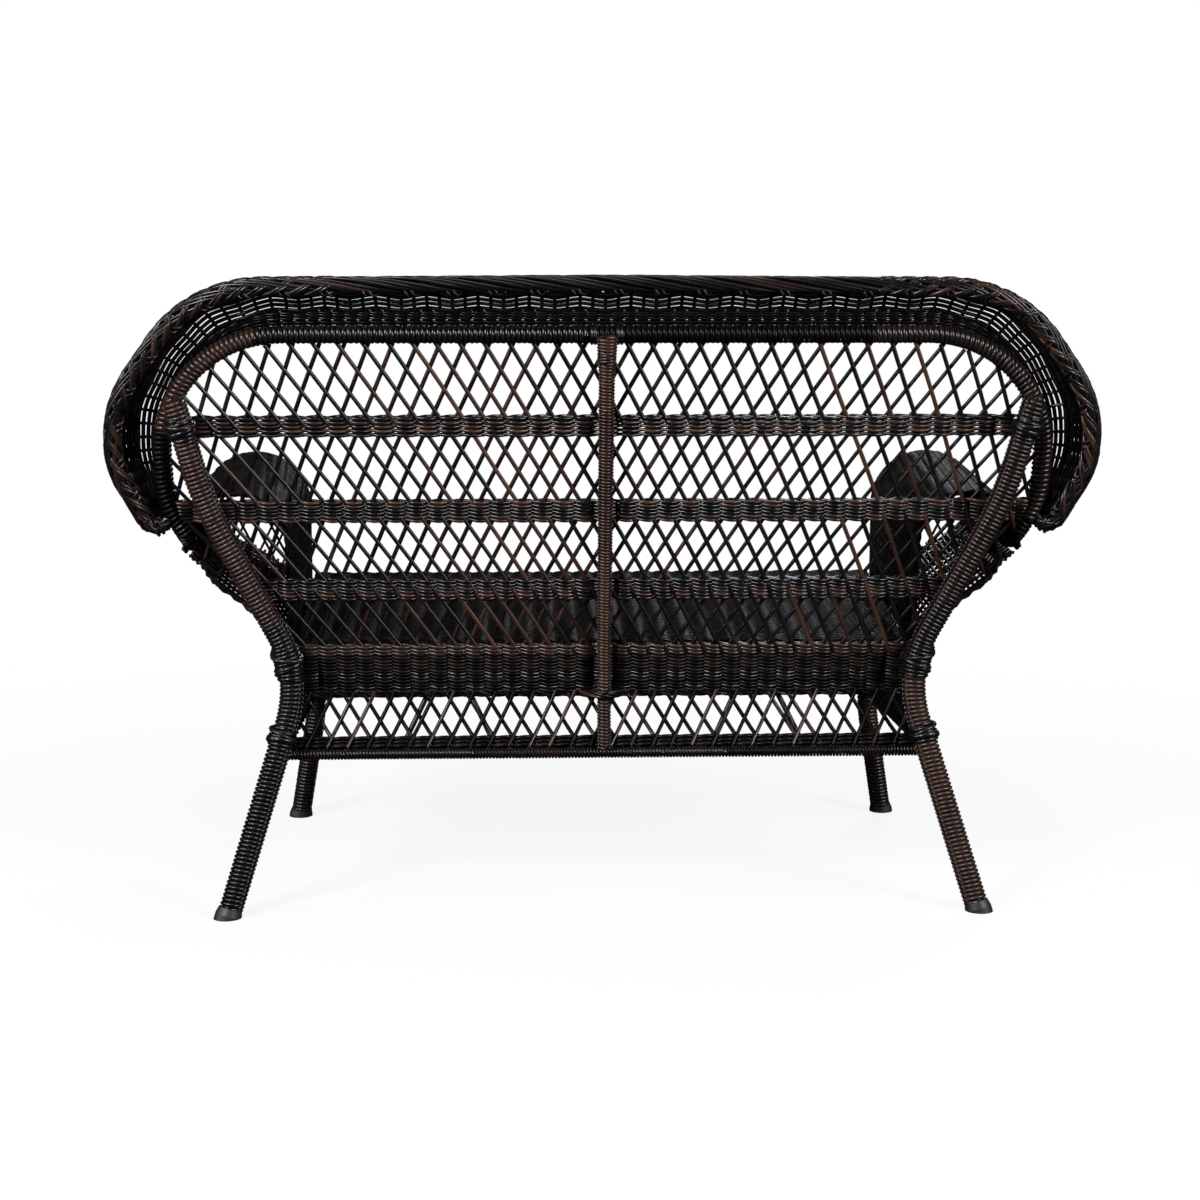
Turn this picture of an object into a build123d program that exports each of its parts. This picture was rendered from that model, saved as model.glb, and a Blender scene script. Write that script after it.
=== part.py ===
from build123d import *
import os
from math import atan2, cos, radians, sin, tan

# Patio loveseat in woven resin wicker on a bound tube frame. Millimetres, Z up. The
# sitter faces -Y, so the left-hand pieces are on +X. The origin is on the floor, at the
# middle of the box round the whole seat.
os.makedirs("parts", exist_ok=True)

# Driving dimensions of the back. It lies in one leaning plane: x across, s up the slope
# from the seat, and n to the rear of that plane.
back_lean = 14.6
back_base_y = 180.0
back_base_z = 345.0
bow_half_width = 620.0
bow_top = 504.0
bow_corner_radius = 175.0
bow_turn_height = 262.0
bow_turn_radius = 135.0
bow_end_inset = 34.0
bow_end_height = 196.0
bow_split_from_corner = 40.0

# Tube sizes. Every tube is bound with round resin strand, and these are over the strand.
bow_radius = 13.5
leg_radius = 17.0
front_leg_radius = 17.0
seat_rail_radius = 11.0
bearer_radius = 9.0
lower_rail_radius = 8.5
brace_radius = 4.0
centre_post_radius = 9.5
hoop_radius = 8.0
rim_radius = 12.0
arm_rim_radius = 8.0
binding_wall = 5.5
thin_binding_wall = 3.5
clearance = 0.3
overrun = 40.0

# Rear legs: each runs from the bow down the back to the waist, and out to its foot.
post_top_inset = 25.0
post_top_drop = 82.0
post_bend_inset = 58.0
post_bend_drop = 234.0
post_bend_radius = 600.0
waist_x = 438.0
waist_height = 5.0
waist_radius = 165.0
rear_foot_x = 543.0
rear_foot_y = 271.0
glide_height = 14.0
glide_radius = 19.5
glide_lip = 4.0

# Bindings: lengths along the rear leg, measured from the waist's bend or from the top.
waist_binding_above = 48.0
waist_binding_below = 4.0
lower_binding_start = 80.0
lower_binding_length = 26.0
bow_binding_start = 28.0
bow_binding_length = 30.0
post_binding_start = 6.0
post_binding_length = 26.0

# Front legs.
front_leg_inset = 2.0
front_leg_y = -300.0
front_leg_knee_z = 190.0
front_leg_knee_radius = 250.0
front_foot_splay = 34.0
front_foot_y = -338.0

# Seat: a woven deck on a tube frame, higher at the front.
seat_tilt = 4.2
seat_rear_y = 181.5
seat_rear_z = 383.0
seat_depth = 513.0
seat_rear_overhang = 6.0
seat_front_half_width = 468.0
deck_thickness = 10.0
rib_pitch = 33.5
rib_rise = 4.5
side_rail_rear_y = 214.0
rear_rail_inset = 36.0
bearer_share = 0.51

# Lattice and woven bands of the back, measured up the slope.
strand = 5.0
lattice_thickness = 6.0
lattice_pitch = 41.0
lattice_rise = 88.0
lattice_fan = 0.1
lattice_border = 5.0
smallest_hole_area = 120.0
band_height = 32.0
band_rows = 5
band_row_radius = 3.6
lower_band_height = 110.0
middle_band_height = 230.0
upper_band_height = 356.0
apron_top = 39.0
apron_bottom = -37.0
apron_front = 5.0
apron_rib_pitch = 26.0
apron_rib_rise = 3.5
apron_overhang = 13.0
wing_upper_inset = 24.0
wing_upper_drop = 33.0
wing_lower_overhang = 29.0
wing_lower_height = 88.0
wing_foot_overhang = 16.0
wing_foot_height = 30.0
wing_radius = 35.0
centre_post_gap = 4.5
centre_post_bend = -5.0
centre_post_foot_y = 214.0

# Skirt under the seat.
skirt_top_z = 309.0
skirt_top_y = 171.0
skirt_thickness = 5.0
skirt_pitch = 46.0
skirt_rise = 63.0
skirt_border = 6.0
skirt_band = 13.0
lower_rail_z = 223.0
lower_rail_rear_y = 200.0
lower_rail_front_y = -312.0
lower_rail_rear_overhang = 41.0
lower_rail_rear_reach = 230.0
lower_rail_tuck = 3.0
brace_foot_spread = 72.0
brace_foot_y = 188.0
brace_top_z = 350.0
front_skirt_overhang = 14.0
front_apron_thickness = 6.0
side_apron_thickness = 6.0

# Arms: an upside-down U of weave, wider at the front, on a rail and a hoop.
arm_front_y = -325.0
arm_rear_y = 260.0
arm_inner_gap = 4.0
arm_rear_overhang = 11.0
arm_front_width = 180.0
arm_spring_rise = 0.5
arm_shell = 6.0
arm_lip_drop = 10.0
arm_rail_front_inset = 11.0
arm_rail_end_gap = 2.0
arm_corner_radius = 45.0
hoop_y = -309.0
teardrop_cheek_z = 478.0
teardrop_cheek_radius = 55.0
teardrop_foot_z = 368.0
arm_panel_thickness = 5.0
arm_panel_border = 20.0
arm_panel_pitch = 34.0
arm_panel_rise = 60.0
side_panel_thickness = 3.5
side_panel_shares = ((0.0, 0.0), (0.12, 0.08), (0.25, 0.25), (0.58, 0.47), (0.8, 0.68), (1.0, 1.0))

# Collar: the flared border of weave that rolls back over the bow.
collar_radius = 80.0
collar_thickness = 5.0
collar_sweep = 52.0
rim_tip_behind = 8.0
rim_behind = 17.0
rim_tip_overhang = 10.0
rim_hip_overhang = 63.0
rim_cheek_overhang = 64.0
rim_shoulder_inset = 60.0
rim_tip_drop = 59.0
rim_hip_rise = 53.0
rim_cheek_rise = 143.0
rim_shoulder_rise = 71.0
rim_crown_rise = 75.0
rim_hip_radius = 130.0
rim_cheek_radius = 180.0
rim_shoulder_radius = 190.0
rim_crown_radius = 3000.0
rim_end_radius = 8.0

# Frames of reference that follow from the values above.
lean = radians(back_lean)
tilt = radians(seat_tilt)
rearward = Vector(0, cos(lean), -sin(lean))
back_plane = Plane(origin=(0, back_base_y, back_base_z), x_dir=(1, 0, 0), z_dir=-rearward)
seat_origin = (0, seat_rear_y, seat_rear_z)
seat_plane = Plane(origin=seat_origin, x_dir=(1, 0, 0), z_dir=(0, sin(tilt), cos(tilt)))
deck_section = Plane(origin=seat_origin, x_dir=(1, 0, 0), z_dir=(0, -cos(tilt), sin(tilt)))
weave_front = back_plane.offset(apron_front + clearance)
left_parts = {}

# Widths that follow from the bow, the waist and the seat's front edge.
bow_end_x = bow_half_width - bow_end_inset
seat_rear_half_width = waist_x + seat_rear_overhang
apron_half_width = waist_x + apron_overhang
lower_rail_rear_x = waist_x + lower_rail_rear_overhang
bearer_x = seat_rear_half_width * bearer_share
front_leg_x = seat_front_half_width - front_leg_inset
front_skirt_half_width = front_leg_x + front_skirt_overhang
arm_front_inner_x = seat_front_half_width + arm_inner_gap
arm_rear_inner_x = seat_rear_half_width + arm_inner_gap
arm_rear_outer_x = bow_end_x + arm_rear_overhang
arm_front_outer_x = arm_front_inner_x + arm_front_width
arm_rail_front_x = arm_front_outer_x - arm_rail_front_inset


def back(x, s, n=0):
    """A point of the back: x across, s up the slope, n behind the plane."""
    return back_plane.from_local_coords(Vector(x, s, -n))


def seat(x, y, up):
    """A point of the seat frame: x across, y as measured, up from the tilted top."""
    forward = (seat_rear_y - y + up * sin(tilt)) / cos(tilt)
    return seat_plane.from_local_coords(Vector(x, -forward, up))


def flip(point):
    return Vector(-point.X, point.Y, point.Z)


def tube(points, radii, radius, hollow=0, reach=None):
    """Sweep a round tube along runs and bends, or along a reach from before their middle to
    after it."""
    with BuildLine() as run:
        if radii:
            FilletPolyline(*points, radius=radii)
        else:
            Line(*points)
    path = run.wire()
    if reach:
        path = path.trim(*(0.5 + length / path.length for length in reach))
    with BuildSketch(Plane(path @ 0, z_dir=path % 0)) as section:
        Circle(radius)
        if hollow:
            Circle(hollow, mode=Mode.SUBTRACT)
    sweep(section.sketch, path=path)


def cope(*others):
    """Cut the piece back to the surface of what it is welded or tied to."""
    for other in others:
        add(other.part, mode=Mode.SUBTRACT)


def save(piece, name):
    piece.part.label = name
    export_step(piece.part, f"parts/{name}.step")


def save_pair(piece, name):
    """Save a left-hand piece now, and its mirror image with the others at the end."""
    left_parts[name] = piece
    save(piece, f"{name}_left")


def diamonds(half_width, bottom, top, pitch, rise, fan=0, fan_height=1):
    """The openings of a crossed lattice, whose strands may spread towards the top."""
    across = pitch / 2
    up = rise / 2
    shrink = 1 - strand / (pitch * cos(atan2(across, up)))

    def corner(i, j, di, dj):
        height = up * (j + dj * shrink)
        return (across * (i + di * shrink) * (1 + fan * height / fan_height), height)

    columns = int(half_width / across) + 2
    holes = []
    for j in range(int(bottom / up) - 1, int(top / up) + 2):
        for i in range(-columns, columns + 1):
            if (i + j) % 2:
                ends = ((1, 0), (0, 1), (-1, 0), (0, -1))
                holes.append([corner(i, j, di, dj) for di, dj in ends])
    return holes


def net(plane, outline, border, holes, thickness):
    """A flat net: the outline, less the openings that lie inside its border."""
    with BuildSketch() as field:
        add(outline)
        offset(amount=-border, kind=Kind.INTERSECTION, mode=Mode.REPLACE)
    with BuildSketch() as cut:
        add([Polygon(*corners, align=None, mode=Mode.PRIVATE) for corners in holes])
        add(field.sketch, mode=Mode.INTERSECT)
    openings = [face for face in cut.sketch.faces() if face.area > smallest_hole_area]
    with BuildSketch(plane.offset(-thickness / 2)) as face:
        add(outline)
        add(openings, mode=Mode.SUBTRACT)
    extrude(face.sketch, amount=thickness)


def scallops(half_width, thickness, pitch, rise):
    """A ribbed section: flat below, with one shallow arc for each rib above."""
    count = round(2 * half_width / pitch)
    step = 2 * half_width / count
    joints = [(-half_width + step * k, 0) for k in range(count + 1)]
    for start, end in zip(joints, joints[1:]):
        ThreePointArc(start, ((start[0] + end[0]) / 2, rise), end)
    Polyline(joints[-1], (half_width, -thickness), (-half_width, -thickness), joints[0])


# The arm's height follows from the end of the bow.
arm_rail_z = back(bow_end_x, bow_end_height).Z
arm_spring_z = arm_rail_z + arm_spring_rise

# Outline of the woven back: inside the bow above, then in along the wings to the waist.
inner_half = bow_half_width - bow_radius - clearance
inner_top = bow_top - bow_radius - clearance
inner_corner = bow_corner_radius - bow_radius
wing_foot_x = waist_x + wing_foot_overhang
right_side = [(inner_half, inner_top), (inner_half, bow_turn_height)]
right_side += [(bow_end_x - wing_upper_inset, bow_end_height - wing_upper_drop)]
right_side += [(waist_x + wing_lower_overhang, wing_lower_height)]
right_side += [(wing_foot_x, wing_foot_height), (wing_foot_x, apron_bottom)]
left_side = [(-x, s) for x, s in reversed(right_side)]
outline_radii = [inner_corner, bow_turn_radius / 2, wing_radius, wing_radius, wing_radius]
with BuildSketch() as back_outline:
    with BuildLine():
        FilletPolyline(*left_side, *right_side, radius=outline_radii[::-1] + outline_radii)
        Line(right_side[-1], left_side[0])
    make_face()


def back_strip(bottom, top):
    """The part of the back's outline between two heights."""
    with BuildSketch() as strip:
        add(back_outline.sketch)
        with Locations((0, (bottom + top) / 2)):
            Rectangle(2 * bow_half_width, top - bottom, mode=Mode.INTERSECT)
    return strip.sketch


# The bow: one bent tube over the back. Its lower ends are joined to the arm rails.
bow_turn = Vector(bow_half_width, bow_turn_height)
bow_end = Vector(bow_end_x, bow_end_height)
bow_split = bow_end + (bow_turn - bow_end).normalized() * bow_split_from_corner
bow_half = [back(bow_split.X, bow_split.Y), back(bow_turn.X, bow_turn.Y), back(bow_half_width, bow_top)]
bow_points = bow_half + [flip(point) for point in reversed(bow_half)]
bow_radii = [bow_turn_radius, bow_corner_radius, bow_corner_radius, bow_turn_radius]
with BuildPart() as back_bow:
    tube(bow_points, bow_radii, bow_radius)
save(back_bow, "back_bow")

# Arm rails: the bow's tube carried on round its corner and forward under the arm.
arm_rail_corner = back(bow_end.X, bow_end.Y)
arm_rail_front = Vector(arm_rail_front_x, hoop_y + hoop_radius + arm_rail_end_gap, arm_rail_z)
with BuildPart() as arm_rail:
    tube([bow_points[0], arm_rail_corner, arm_rail_front], [arm_corner_radius], bow_radius)
save_pair(arm_rail, "arm_rail")

# Rear legs, each one tube with two bends, behind the bow by the thickness of a tube.
post_gap = bow_radius + leg_radius + clearance
post_top = back(bow_half_width - post_top_inset, bow_top - post_top_drop, post_gap)
post_bend = back(bow_half_width - post_bend_inset, bow_top - post_bend_drop, post_gap)
waist = back(waist_x, waist_height, post_gap)
rear_foot = Vector(rear_foot_x, rear_foot_y, 0)
upper_run = (post_bend - post_top).normalized()
post_run = (waist - post_bend).normalized()
leg_run = (rear_foot - waist).normalized()
rear_leg_end = rear_foot - leg_run * glide_height
with BuildPart() as rear_leg:
    tube([post_top, post_bend, waist, rear_leg_end], [post_bend_radius, waist_radius], leg_radius)
save_pair(rear_leg, "rear_leg")

# Front legs, which stop under the deck.
front_leg_top = seat(front_leg_x, front_leg_y + front_leg_radius, -deck_thickness).Z - clearance
front_top = Vector(front_leg_x, front_leg_y, front_leg_top)
front_knee = Vector(front_leg_x, front_leg_y, front_leg_knee_z)
front_foot = Vector(front_leg_x + front_foot_splay, front_foot_y, 0)
front_run = (front_foot - front_knee).normalized()
front_leg_end = front_foot - front_run * glide_height
with BuildPart() as front_leg:
    tube([front_top, front_knee, front_leg_end], [front_leg_knee_radius], front_leg_radius)
save_pair(front_leg, "front_leg")
with BuildPart() as front_leg_space:
    tube([front_top + Vector(0, 0, overrun), front_knee], [], front_leg_radius)


def glide(foot, down, tube_radius):
    """A flared foot turned about the leg's axis, with its underside cut flat by the floor."""
    axis = -down
    across = (Vector(1, 0, 0) - axis * axis.X).normalized()
    with BuildSketch(Plane(foot, x_dir=across, z_dir=across.cross(axis))) as half:
        with BuildLine():
            Polyline((0, -glide_height), (glide_radius, -glide_height), (glide_radius, glide_lip))
            Polyline((glide_radius, glide_lip), (tube_radius, glide_height), (0, glide_height))
            Line((0, glide_height), (0, -glide_height))
        make_face()
    revolve(half.sketch, axis=Axis(foot, axis))
    split(bisect_by=Plane.XY, keep=Keep.TOP)


with BuildPart() as foot_glide_rear:
    glide(rear_foot, leg_run, leg_radius)
save_pair(foot_glide_rear, "foot_glide_rear")
with BuildPart() as foot_glide_front:
    glide(front_foot, front_run, front_leg_radius)
save_pair(foot_glide_front, "foot_glide_front")

# Bindings: strand wound in a thick sleeve over the joints of each rear leg.
bend_run = waist_radius * tan(radians(post_run.get_angle(leg_run)) / 2) + overrun
bend = [waist - post_run * bend_run, waist, waist + leg_run * bend_run]
waist_reach = (-waist_binding_above, waist_binding_below)
with BuildPart() as waist_binding:
    tube(bend, [waist_radius], leg_radius + binding_wall, leg_radius, waist_reach)
save_pair(waist_binding, "waist_binding")
with BuildPart() as lower_binding:
    lower_start = waist + leg_run * lower_binding_start
    lower_end = lower_start + leg_run * lower_binding_length
    tube([lower_start, lower_end], [], leg_radius + binding_wall, leg_radius)
save_pair(lower_binding, "lower_binding")
with BuildPart() as bow_binding:
    bow_start = post_top + upper_run * bow_binding_start
    bow_finish = bow_start + upper_run * bow_binding_length
    tube([bow_start, bow_finish], [], leg_radius + thin_binding_wall, leg_radius)
save_pair(bow_binding, "bow_binding")
with BuildPart() as waist_space:
    tube(bend, [waist_radius], leg_radius + binding_wall, reach=waist_reach)
with BuildPart() as lower_space:
    tube([lower_start, lower_end], [], leg_radius + binding_wall)

# Seat frame: side rails coped to the legs, then the cross rails and two bearers.
rail_drop = deck_thickness + clearance + seat_rail_radius
side_rail_front = seat(front_leg_x, front_leg_y, -rail_drop)
side_rail_rear = seat(seat_rear_half_width, side_rail_rear_y, -rail_drop)
with BuildPart() as seat_rail:
    tube([side_rail_front, side_rail_rear], [], seat_rail_radius)
    cope(front_leg_space, rear_leg, waist_space)
save_pair(seat_rail, "seat_rail")
with BuildPart() as seat_rail_front:
    tube([side_rail_front, flip(side_rail_front)], [], seat_rail_radius)
    cope(front_leg_space)
    mirror(about=Plane.YZ, mode=Mode.INTERSECT)
save(seat_rail_front, "seat_rail_front")
rear_rail_y = seat_rear_y - rear_rail_inset
rear_rail_end = seat(seat_rear_half_width, rear_rail_y, -rail_drop)
with BuildPart() as seat_rail_rear:
    tube([rear_rail_end, flip(rear_rail_end)], [], seat_rail_radius)
    cope(seat_rail)
    mirror(about=Plane.YZ, mode=Mode.INTERSECT)
save(seat_rail_rear, "seat_rail_rear")
with BuildPart() as seat_bearer:
    bearer_ends = [seat(bearer_x, front_leg_y, -rail_drop), seat(bearer_x, rear_rail_y, -rail_drop)]
    tube(bearer_ends, [], bearer_radius)
    cope(seat_rail_front, seat_rail_rear)
save_pair(seat_bearer, "seat_bearer")

# Lower rails, which tie the legs under the skirt.
lower_front = Vector(front_leg_x, lower_rail_front_y, lower_rail_z)
lower_side_front = Vector(front_leg_x, front_leg_y, lower_rail_z)
lower_side_rear = Vector(lower_rail_rear_x, lower_rail_rear_reach, lower_rail_z)
lower_rear = Vector(lower_rail_rear_x - lower_rail_tuck, lower_rail_rear_y, lower_rail_z)
with BuildPart() as lower_rail:
    tube([lower_side_front, lower_side_rear], [], lower_rail_radius)
    cope(front_leg, rear_leg, lower_space)
save_pair(lower_rail, "lower_rail")
with BuildPart() as lower_rail_front:
    tube([lower_front, flip(lower_front)], [], lower_rail_radius)
    cope(front_leg, lower_rail)
    mirror(about=Plane.YZ, mode=Mode.INTERSECT)
save(lower_rail_front, "lower_rail_front")
with BuildPart() as lower_rail_rear:
    tube([lower_rear, flip(lower_rear)], [], lower_rail_radius)
    cope(rear_leg, lower_space, lower_rail)
    mirror(about=Plane.YZ, mode=Mode.INTERSECT)
save(lower_rail_rear, "lower_rail_rear")

# Centre post: up the rear face of the back, from the lower rail to the bow.
post_centre_gap = centre_post_gap + centre_post_radius
centre_top = back(0, bow_top, post_centre_gap)
centre_bend = back(0, centre_post_bend, post_centre_gap)
centre_foot = Vector(0, centre_post_foot_y, lower_rail_z)
with BuildPart() as centre_post:
    tube([centre_top, centre_bend, centre_foot], [waist_radius], centre_post_radius)
    cope(back_bow, lower_rail_rear)
save(centre_post, "centre_post")
centre_run = (centre_bend - centre_top).normalized()
with BuildPart() as centre_post_binding:
    centre_start = centre_top + centre_run * (bow_radius + post_binding_start)
    centre_finish = centre_start + centre_run * post_binding_length
    tube([centre_start, centre_finish], [], centre_post_radius + thin_binding_wall, centre_post_radius)
    split(bisect_by=back_plane.offset(-lattice_thickness / 2 - clearance), keep=Keep.BOTTOM)
save(centre_post_binding, "centre_post_binding")

# Braces: two upside-down Vs of thin tube between the rear seat rail and the lower rail.
with BuildPart() as skirt_braces:
    apex = Vector(bearer_x, rear_rail_y, brace_top_z)
    for side in (-1, 1):
        brace_foot = Vector(bearer_x + side * brace_foot_spread, brace_foot_y, lower_rail_z)
        tube([apex + Vector(side * brace_radius * 2, 0, 0), brace_foot], [], brace_radius)
    cope(seat_rail_rear, lower_rail_rear, seat_bearer)
    mirror(about=Plane.YZ)
save(skirt_braces, "skirt_braces")

# Diamond lattice of the back, in four fields between the woven bands.
band_bottoms = [lower_band_height, middle_band_height, upper_band_height]
field_bottoms = [apron_top] + [bottom + band_height for bottom in band_bottoms]
field_tops = band_bottoms + [inner_top + clearance]
field_names = ["seat", "lower", "upper", "top"]
for field_name, low, high in zip(field_names, field_bottoms, field_tops):
    with BuildPart() as back_lattice:
        openings = diamonds(bow_half_width, low, high, lattice_pitch, lattice_rise, lattice_fan, bow_top)
        strip = back_strip(low + clearance, high - clearance)
        net(back_plane, strip, lattice_border, openings, lattice_thickness)
        cope(back_bow, arm_rail)
        mirror(about=Plane.YZ, mode=Mode.INTERSECT)
    save(back_lattice, f"back_lattice_{field_name}")

# Woven bands: rows of strand twined through the lattice, one above the other.
row_pitch = (band_height - 2 * band_row_radius) / (band_rows - 1)
for band_name, low in zip(["lower", "middle", "upper"], band_bottoms):
    with BuildPart() as back_band:
        with BuildSketch(Plane(back(0, low), x_dir=rearward, z_dir=(1, 0, 0))):
            for row in range(band_rows):
                with Locations((0, band_row_radius + row * row_pitch)):
                    Circle(band_row_radius)
        extrude(amount=bow_half_width, both=True)
        with BuildSketch(back_plane.offset(-overrun)):
            add(back_strip(low, low + band_height))
        extrude(amount=2 * overrun, mode=Mode.INTERSECT)
        cope(back_bow, arm_rail)
        mirror(about=Plane.YZ, mode=Mode.INTERSECT)
    save(back_band, f"back_band_{band_name}")

# Rear apron: close-woven weave with upright ribs, behind the seat's rear edge.
apron_base = apron_front - apron_rib_rise / 2
with BuildPart() as rear_apron:
    apron_foot = back(0, apron_bottom, apron_base - apron_rib_rise)
    with BuildSketch(Plane(apron_foot, x_dir=(1, 0, 0), z_dir=(0, sin(lean), cos(lean)))):
        with BuildLine():
            apron_depth = apron_base - apron_rib_rise + apron_front
            scallops(apron_half_width, apron_depth, apron_rib_pitch, apron_rib_rise)
        make_face()
    extrude(amount=apron_top - apron_bottom)
    cope(seat_rail)
    mirror(about=Plane.YZ, mode=Mode.INTERSECT)
save(rear_apron, "rear_apron")

# Deck of the seat: ribs run from back to front, and end in a scalloped front edge.
with BuildPart() as seat_deck:
    with BuildSketch(deck_section):
        with BuildLine():
            scallops(seat_front_half_width, deck_thickness, rib_pitch, rib_rise)
        make_face()
    extrude(amount=seat_depth)
    with BuildSketch(seat_plane.offset(-overrun)):
        with BuildLine():
            Polyline((seat_rear_half_width, 0), (seat_front_half_width, -seat_depth))
            Polyline((seat_front_half_width, -seat_depth), (-seat_front_half_width, -seat_depth))
            Polyline((-seat_front_half_width, -seat_depth), (-seat_rear_half_width, 0))
            Line((-seat_rear_half_width, 0), (seat_rear_half_width, 0))
        make_face()
    extrude(amount=2 * overrun, mode=Mode.INTERSECT)
save(seat_deck, "seat_deck")

# Skirts: an open lattice with a close-woven lower edge, under each side of the seat.
lower_edge = lower_rail_z + lower_rail_radius + clearance


def skirt(plane, left, right, low, high):
    """A strip of lattice between two heights of its plane, solid along its lower edge."""
    middle = (left + right) / 2
    with BuildSketch() as outline:
        with Locations((middle, (low + high) / 2)):
            Rectangle(right - left, high - low)
    foot = low + skirt_band
    raised = []
    for corners in diamonds((right - left) / 2, 0, high - foot, skirt_pitch, skirt_rise):
        shape = [(x + middle, max(y + foot, foot)) for x, y in corners]
        if shape[1][1] > foot:
            raised.append(shape)
    net(plane, outline.sketch, skirt_border, raised, skirt_thickness)


rear_skirt_rise = Vector(0, skirt_top_y - lower_rail_rear_y, skirt_top_z - lower_edge)
rear_skirt_foot = (0, lower_rail_rear_y, lower_edge)
rear_skirt_normal = rear_skirt_rise.cross(Vector(1, 0, 0))
rear_skirt_plane = Plane(origin=rear_skirt_foot, x_dir=(1, 0, 0), z_dir=-rear_skirt_normal)
with BuildPart() as skirt_rear:
    skirt(rear_skirt_plane, -lower_rail_rear_x, lower_rail_rear_x, 0, rear_skirt_rise.length)
    cope(rear_leg, lower_space, lower_rail, lower_rail_rear, waist_space, rear_apron)
    mirror(about=Plane.YZ, mode=Mode.INTERSECT)
save(skirt_rear, "skirt_rear")
front_skirt_y = lower_rail_front_y - lower_rail_radius - skirt_thickness / 2 - clearance
front_skirt_plane = Plane(origin=(0, front_skirt_y, 0), x_dir=(1, 0, 0), z_dir=(0, -1, 0))
with BuildPart() as skirt_front:
    skirt(front_skirt_plane, -front_skirt_half_width, front_skirt_half_width, lower_edge, skirt_top_z)
save(skirt_front, "skirt_front")
side_plane = Plane(origin=(front_leg_x, 0, 0), x_dir=(0, 1, 0), z_dir=(1, 0, 0))
with BuildPart() as skirt_side:
    skirt(side_plane, front_leg_y + front_leg_radius, lower_rail_rear_y, lower_edge, skirt_top_z)
    split(bisect_by=rear_skirt_plane.offset(skirt_thickness / 2 + clearance), keep=Keep.TOP)
    cope(lower_rail)
save_pair(skirt_side, "skirt_side")

# Aprons at the front and sides: close weave between the deck and the skirts.
front_apron_y = front_leg_y - front_leg_radius - clearance
front_apron_top = seat(0, front_apron_y, -deck_thickness).Z - apron_rib_rise
with BuildPart() as front_apron:
    apron_origin = (0, front_apron_y - front_apron_thickness, skirt_top_z + clearance)
    with BuildSketch(Plane(origin=apron_origin, x_dir=(-1, 0, 0))):
        with BuildLine():
            scallops(front_skirt_half_width, front_apron_thickness, rib_pitch, apron_rib_rise)
        make_face()
    extrude(amount=front_apron_top - skirt_top_z)
save(front_apron, "front_apron")
side_apron_front = front_leg_y + front_leg_radius
under_rail = -rail_drop - seat_rail_radius - clearance
with BuildPart() as side_apron:
    with BuildSketch(side_plane.offset(-side_apron_thickness / 2)):
        with BuildLine():
            low_front = (side_apron_front, skirt_top_z + clearance)
            low_rear = (lower_rail_rear_y, skirt_top_z + clearance)
            high_front = (side_apron_front, seat(0, side_apron_front, under_rail).Z)
            high_rear = (lower_rail_rear_y, seat(0, lower_rail_rear_y, under_rail).Z)
            Polyline(low_front, low_rear, high_rear, high_front, low_front)
        make_face()
    extrude(amount=side_apron_thickness)
    split(bisect_by=weave_front, keep=Keep.TOP)
save_pair(side_apron, "side_apron")


# Arms. Their section is an upside-down U, which widens from the back to the front.
def arch_face(y, inner, outer, bottom):
    """The shell's section at one station: inner wall, half-round top and outer lip."""
    radius = (outer - inner) / 2
    middle = (inner + outer) / 2
    inside = radius - arm_shell
    lip = arm_spring_z - arm_lip_drop
    with BuildSketch(Plane(origin=(0, y, 0), x_dir=(1, 0, 0), z_dir=(0, -1, 0))) as face:
        with BuildLine():
            Line((inner, bottom), (inner, arm_spring_z))
            CenterArc((middle, arm_spring_z), radius, 180, -90)
            CenterArc((middle, arm_spring_z), radius, 90, -90)
            Polyline((outer, arm_spring_z), (outer, lip), (outer - arm_shell, lip))
            Line((outer - arm_shell, lip), (outer - arm_shell, arm_spring_z))
            CenterArc((middle, arm_spring_z), inside, 0, 90)
            CenterArc((middle, arm_spring_z), inside, 90, 90)
            Polyline((inner + arm_shell, arm_spring_z), (inner + arm_shell, bottom), (inner, bottom))
        make_face()
    return face.sketch


with BuildPart() as arm_roll:
    front_bottom = seat(0, arm_front_y, -deck_thickness).Z
    rear_bottom = seat(0, arm_rear_y, -deck_thickness).Z
    front_arch = arch_face(arm_front_y, arm_front_inner_x, arm_front_outer_x, front_bottom)
    rear_arch = arch_face(arm_rear_y, arm_rear_inner_x, arm_rear_outer_x, rear_bottom)
    loft([rear_arch, front_arch], ruled=True)
    split(bisect_by=weave_front, keep=Keep.TOP)
    cope(back_bow, arm_rail)
save_pair(arm_roll, "arm_roll")


def teardrop(inset):
    """Corners and bend radii of the arm's front, drawn in from its edge."""
    inner = arm_front_inner_x + inset
    outer = arm_front_outer_x - inset
    crown = arm_spring_z + (arm_front_outer_x - arm_front_inner_x) / 2 - inset
    round_radius = (outer - inner) / 2 - clearance
    foot = (front_leg_x + front_leg_radius + inset, teardrop_foot_z + inset)
    corners = [(inner, crown), (outer, crown), (outer, teardrop_cheek_z + inset), foot]
    return corners, [round_radius, round_radius, teardrop_cheek_radius]


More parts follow.
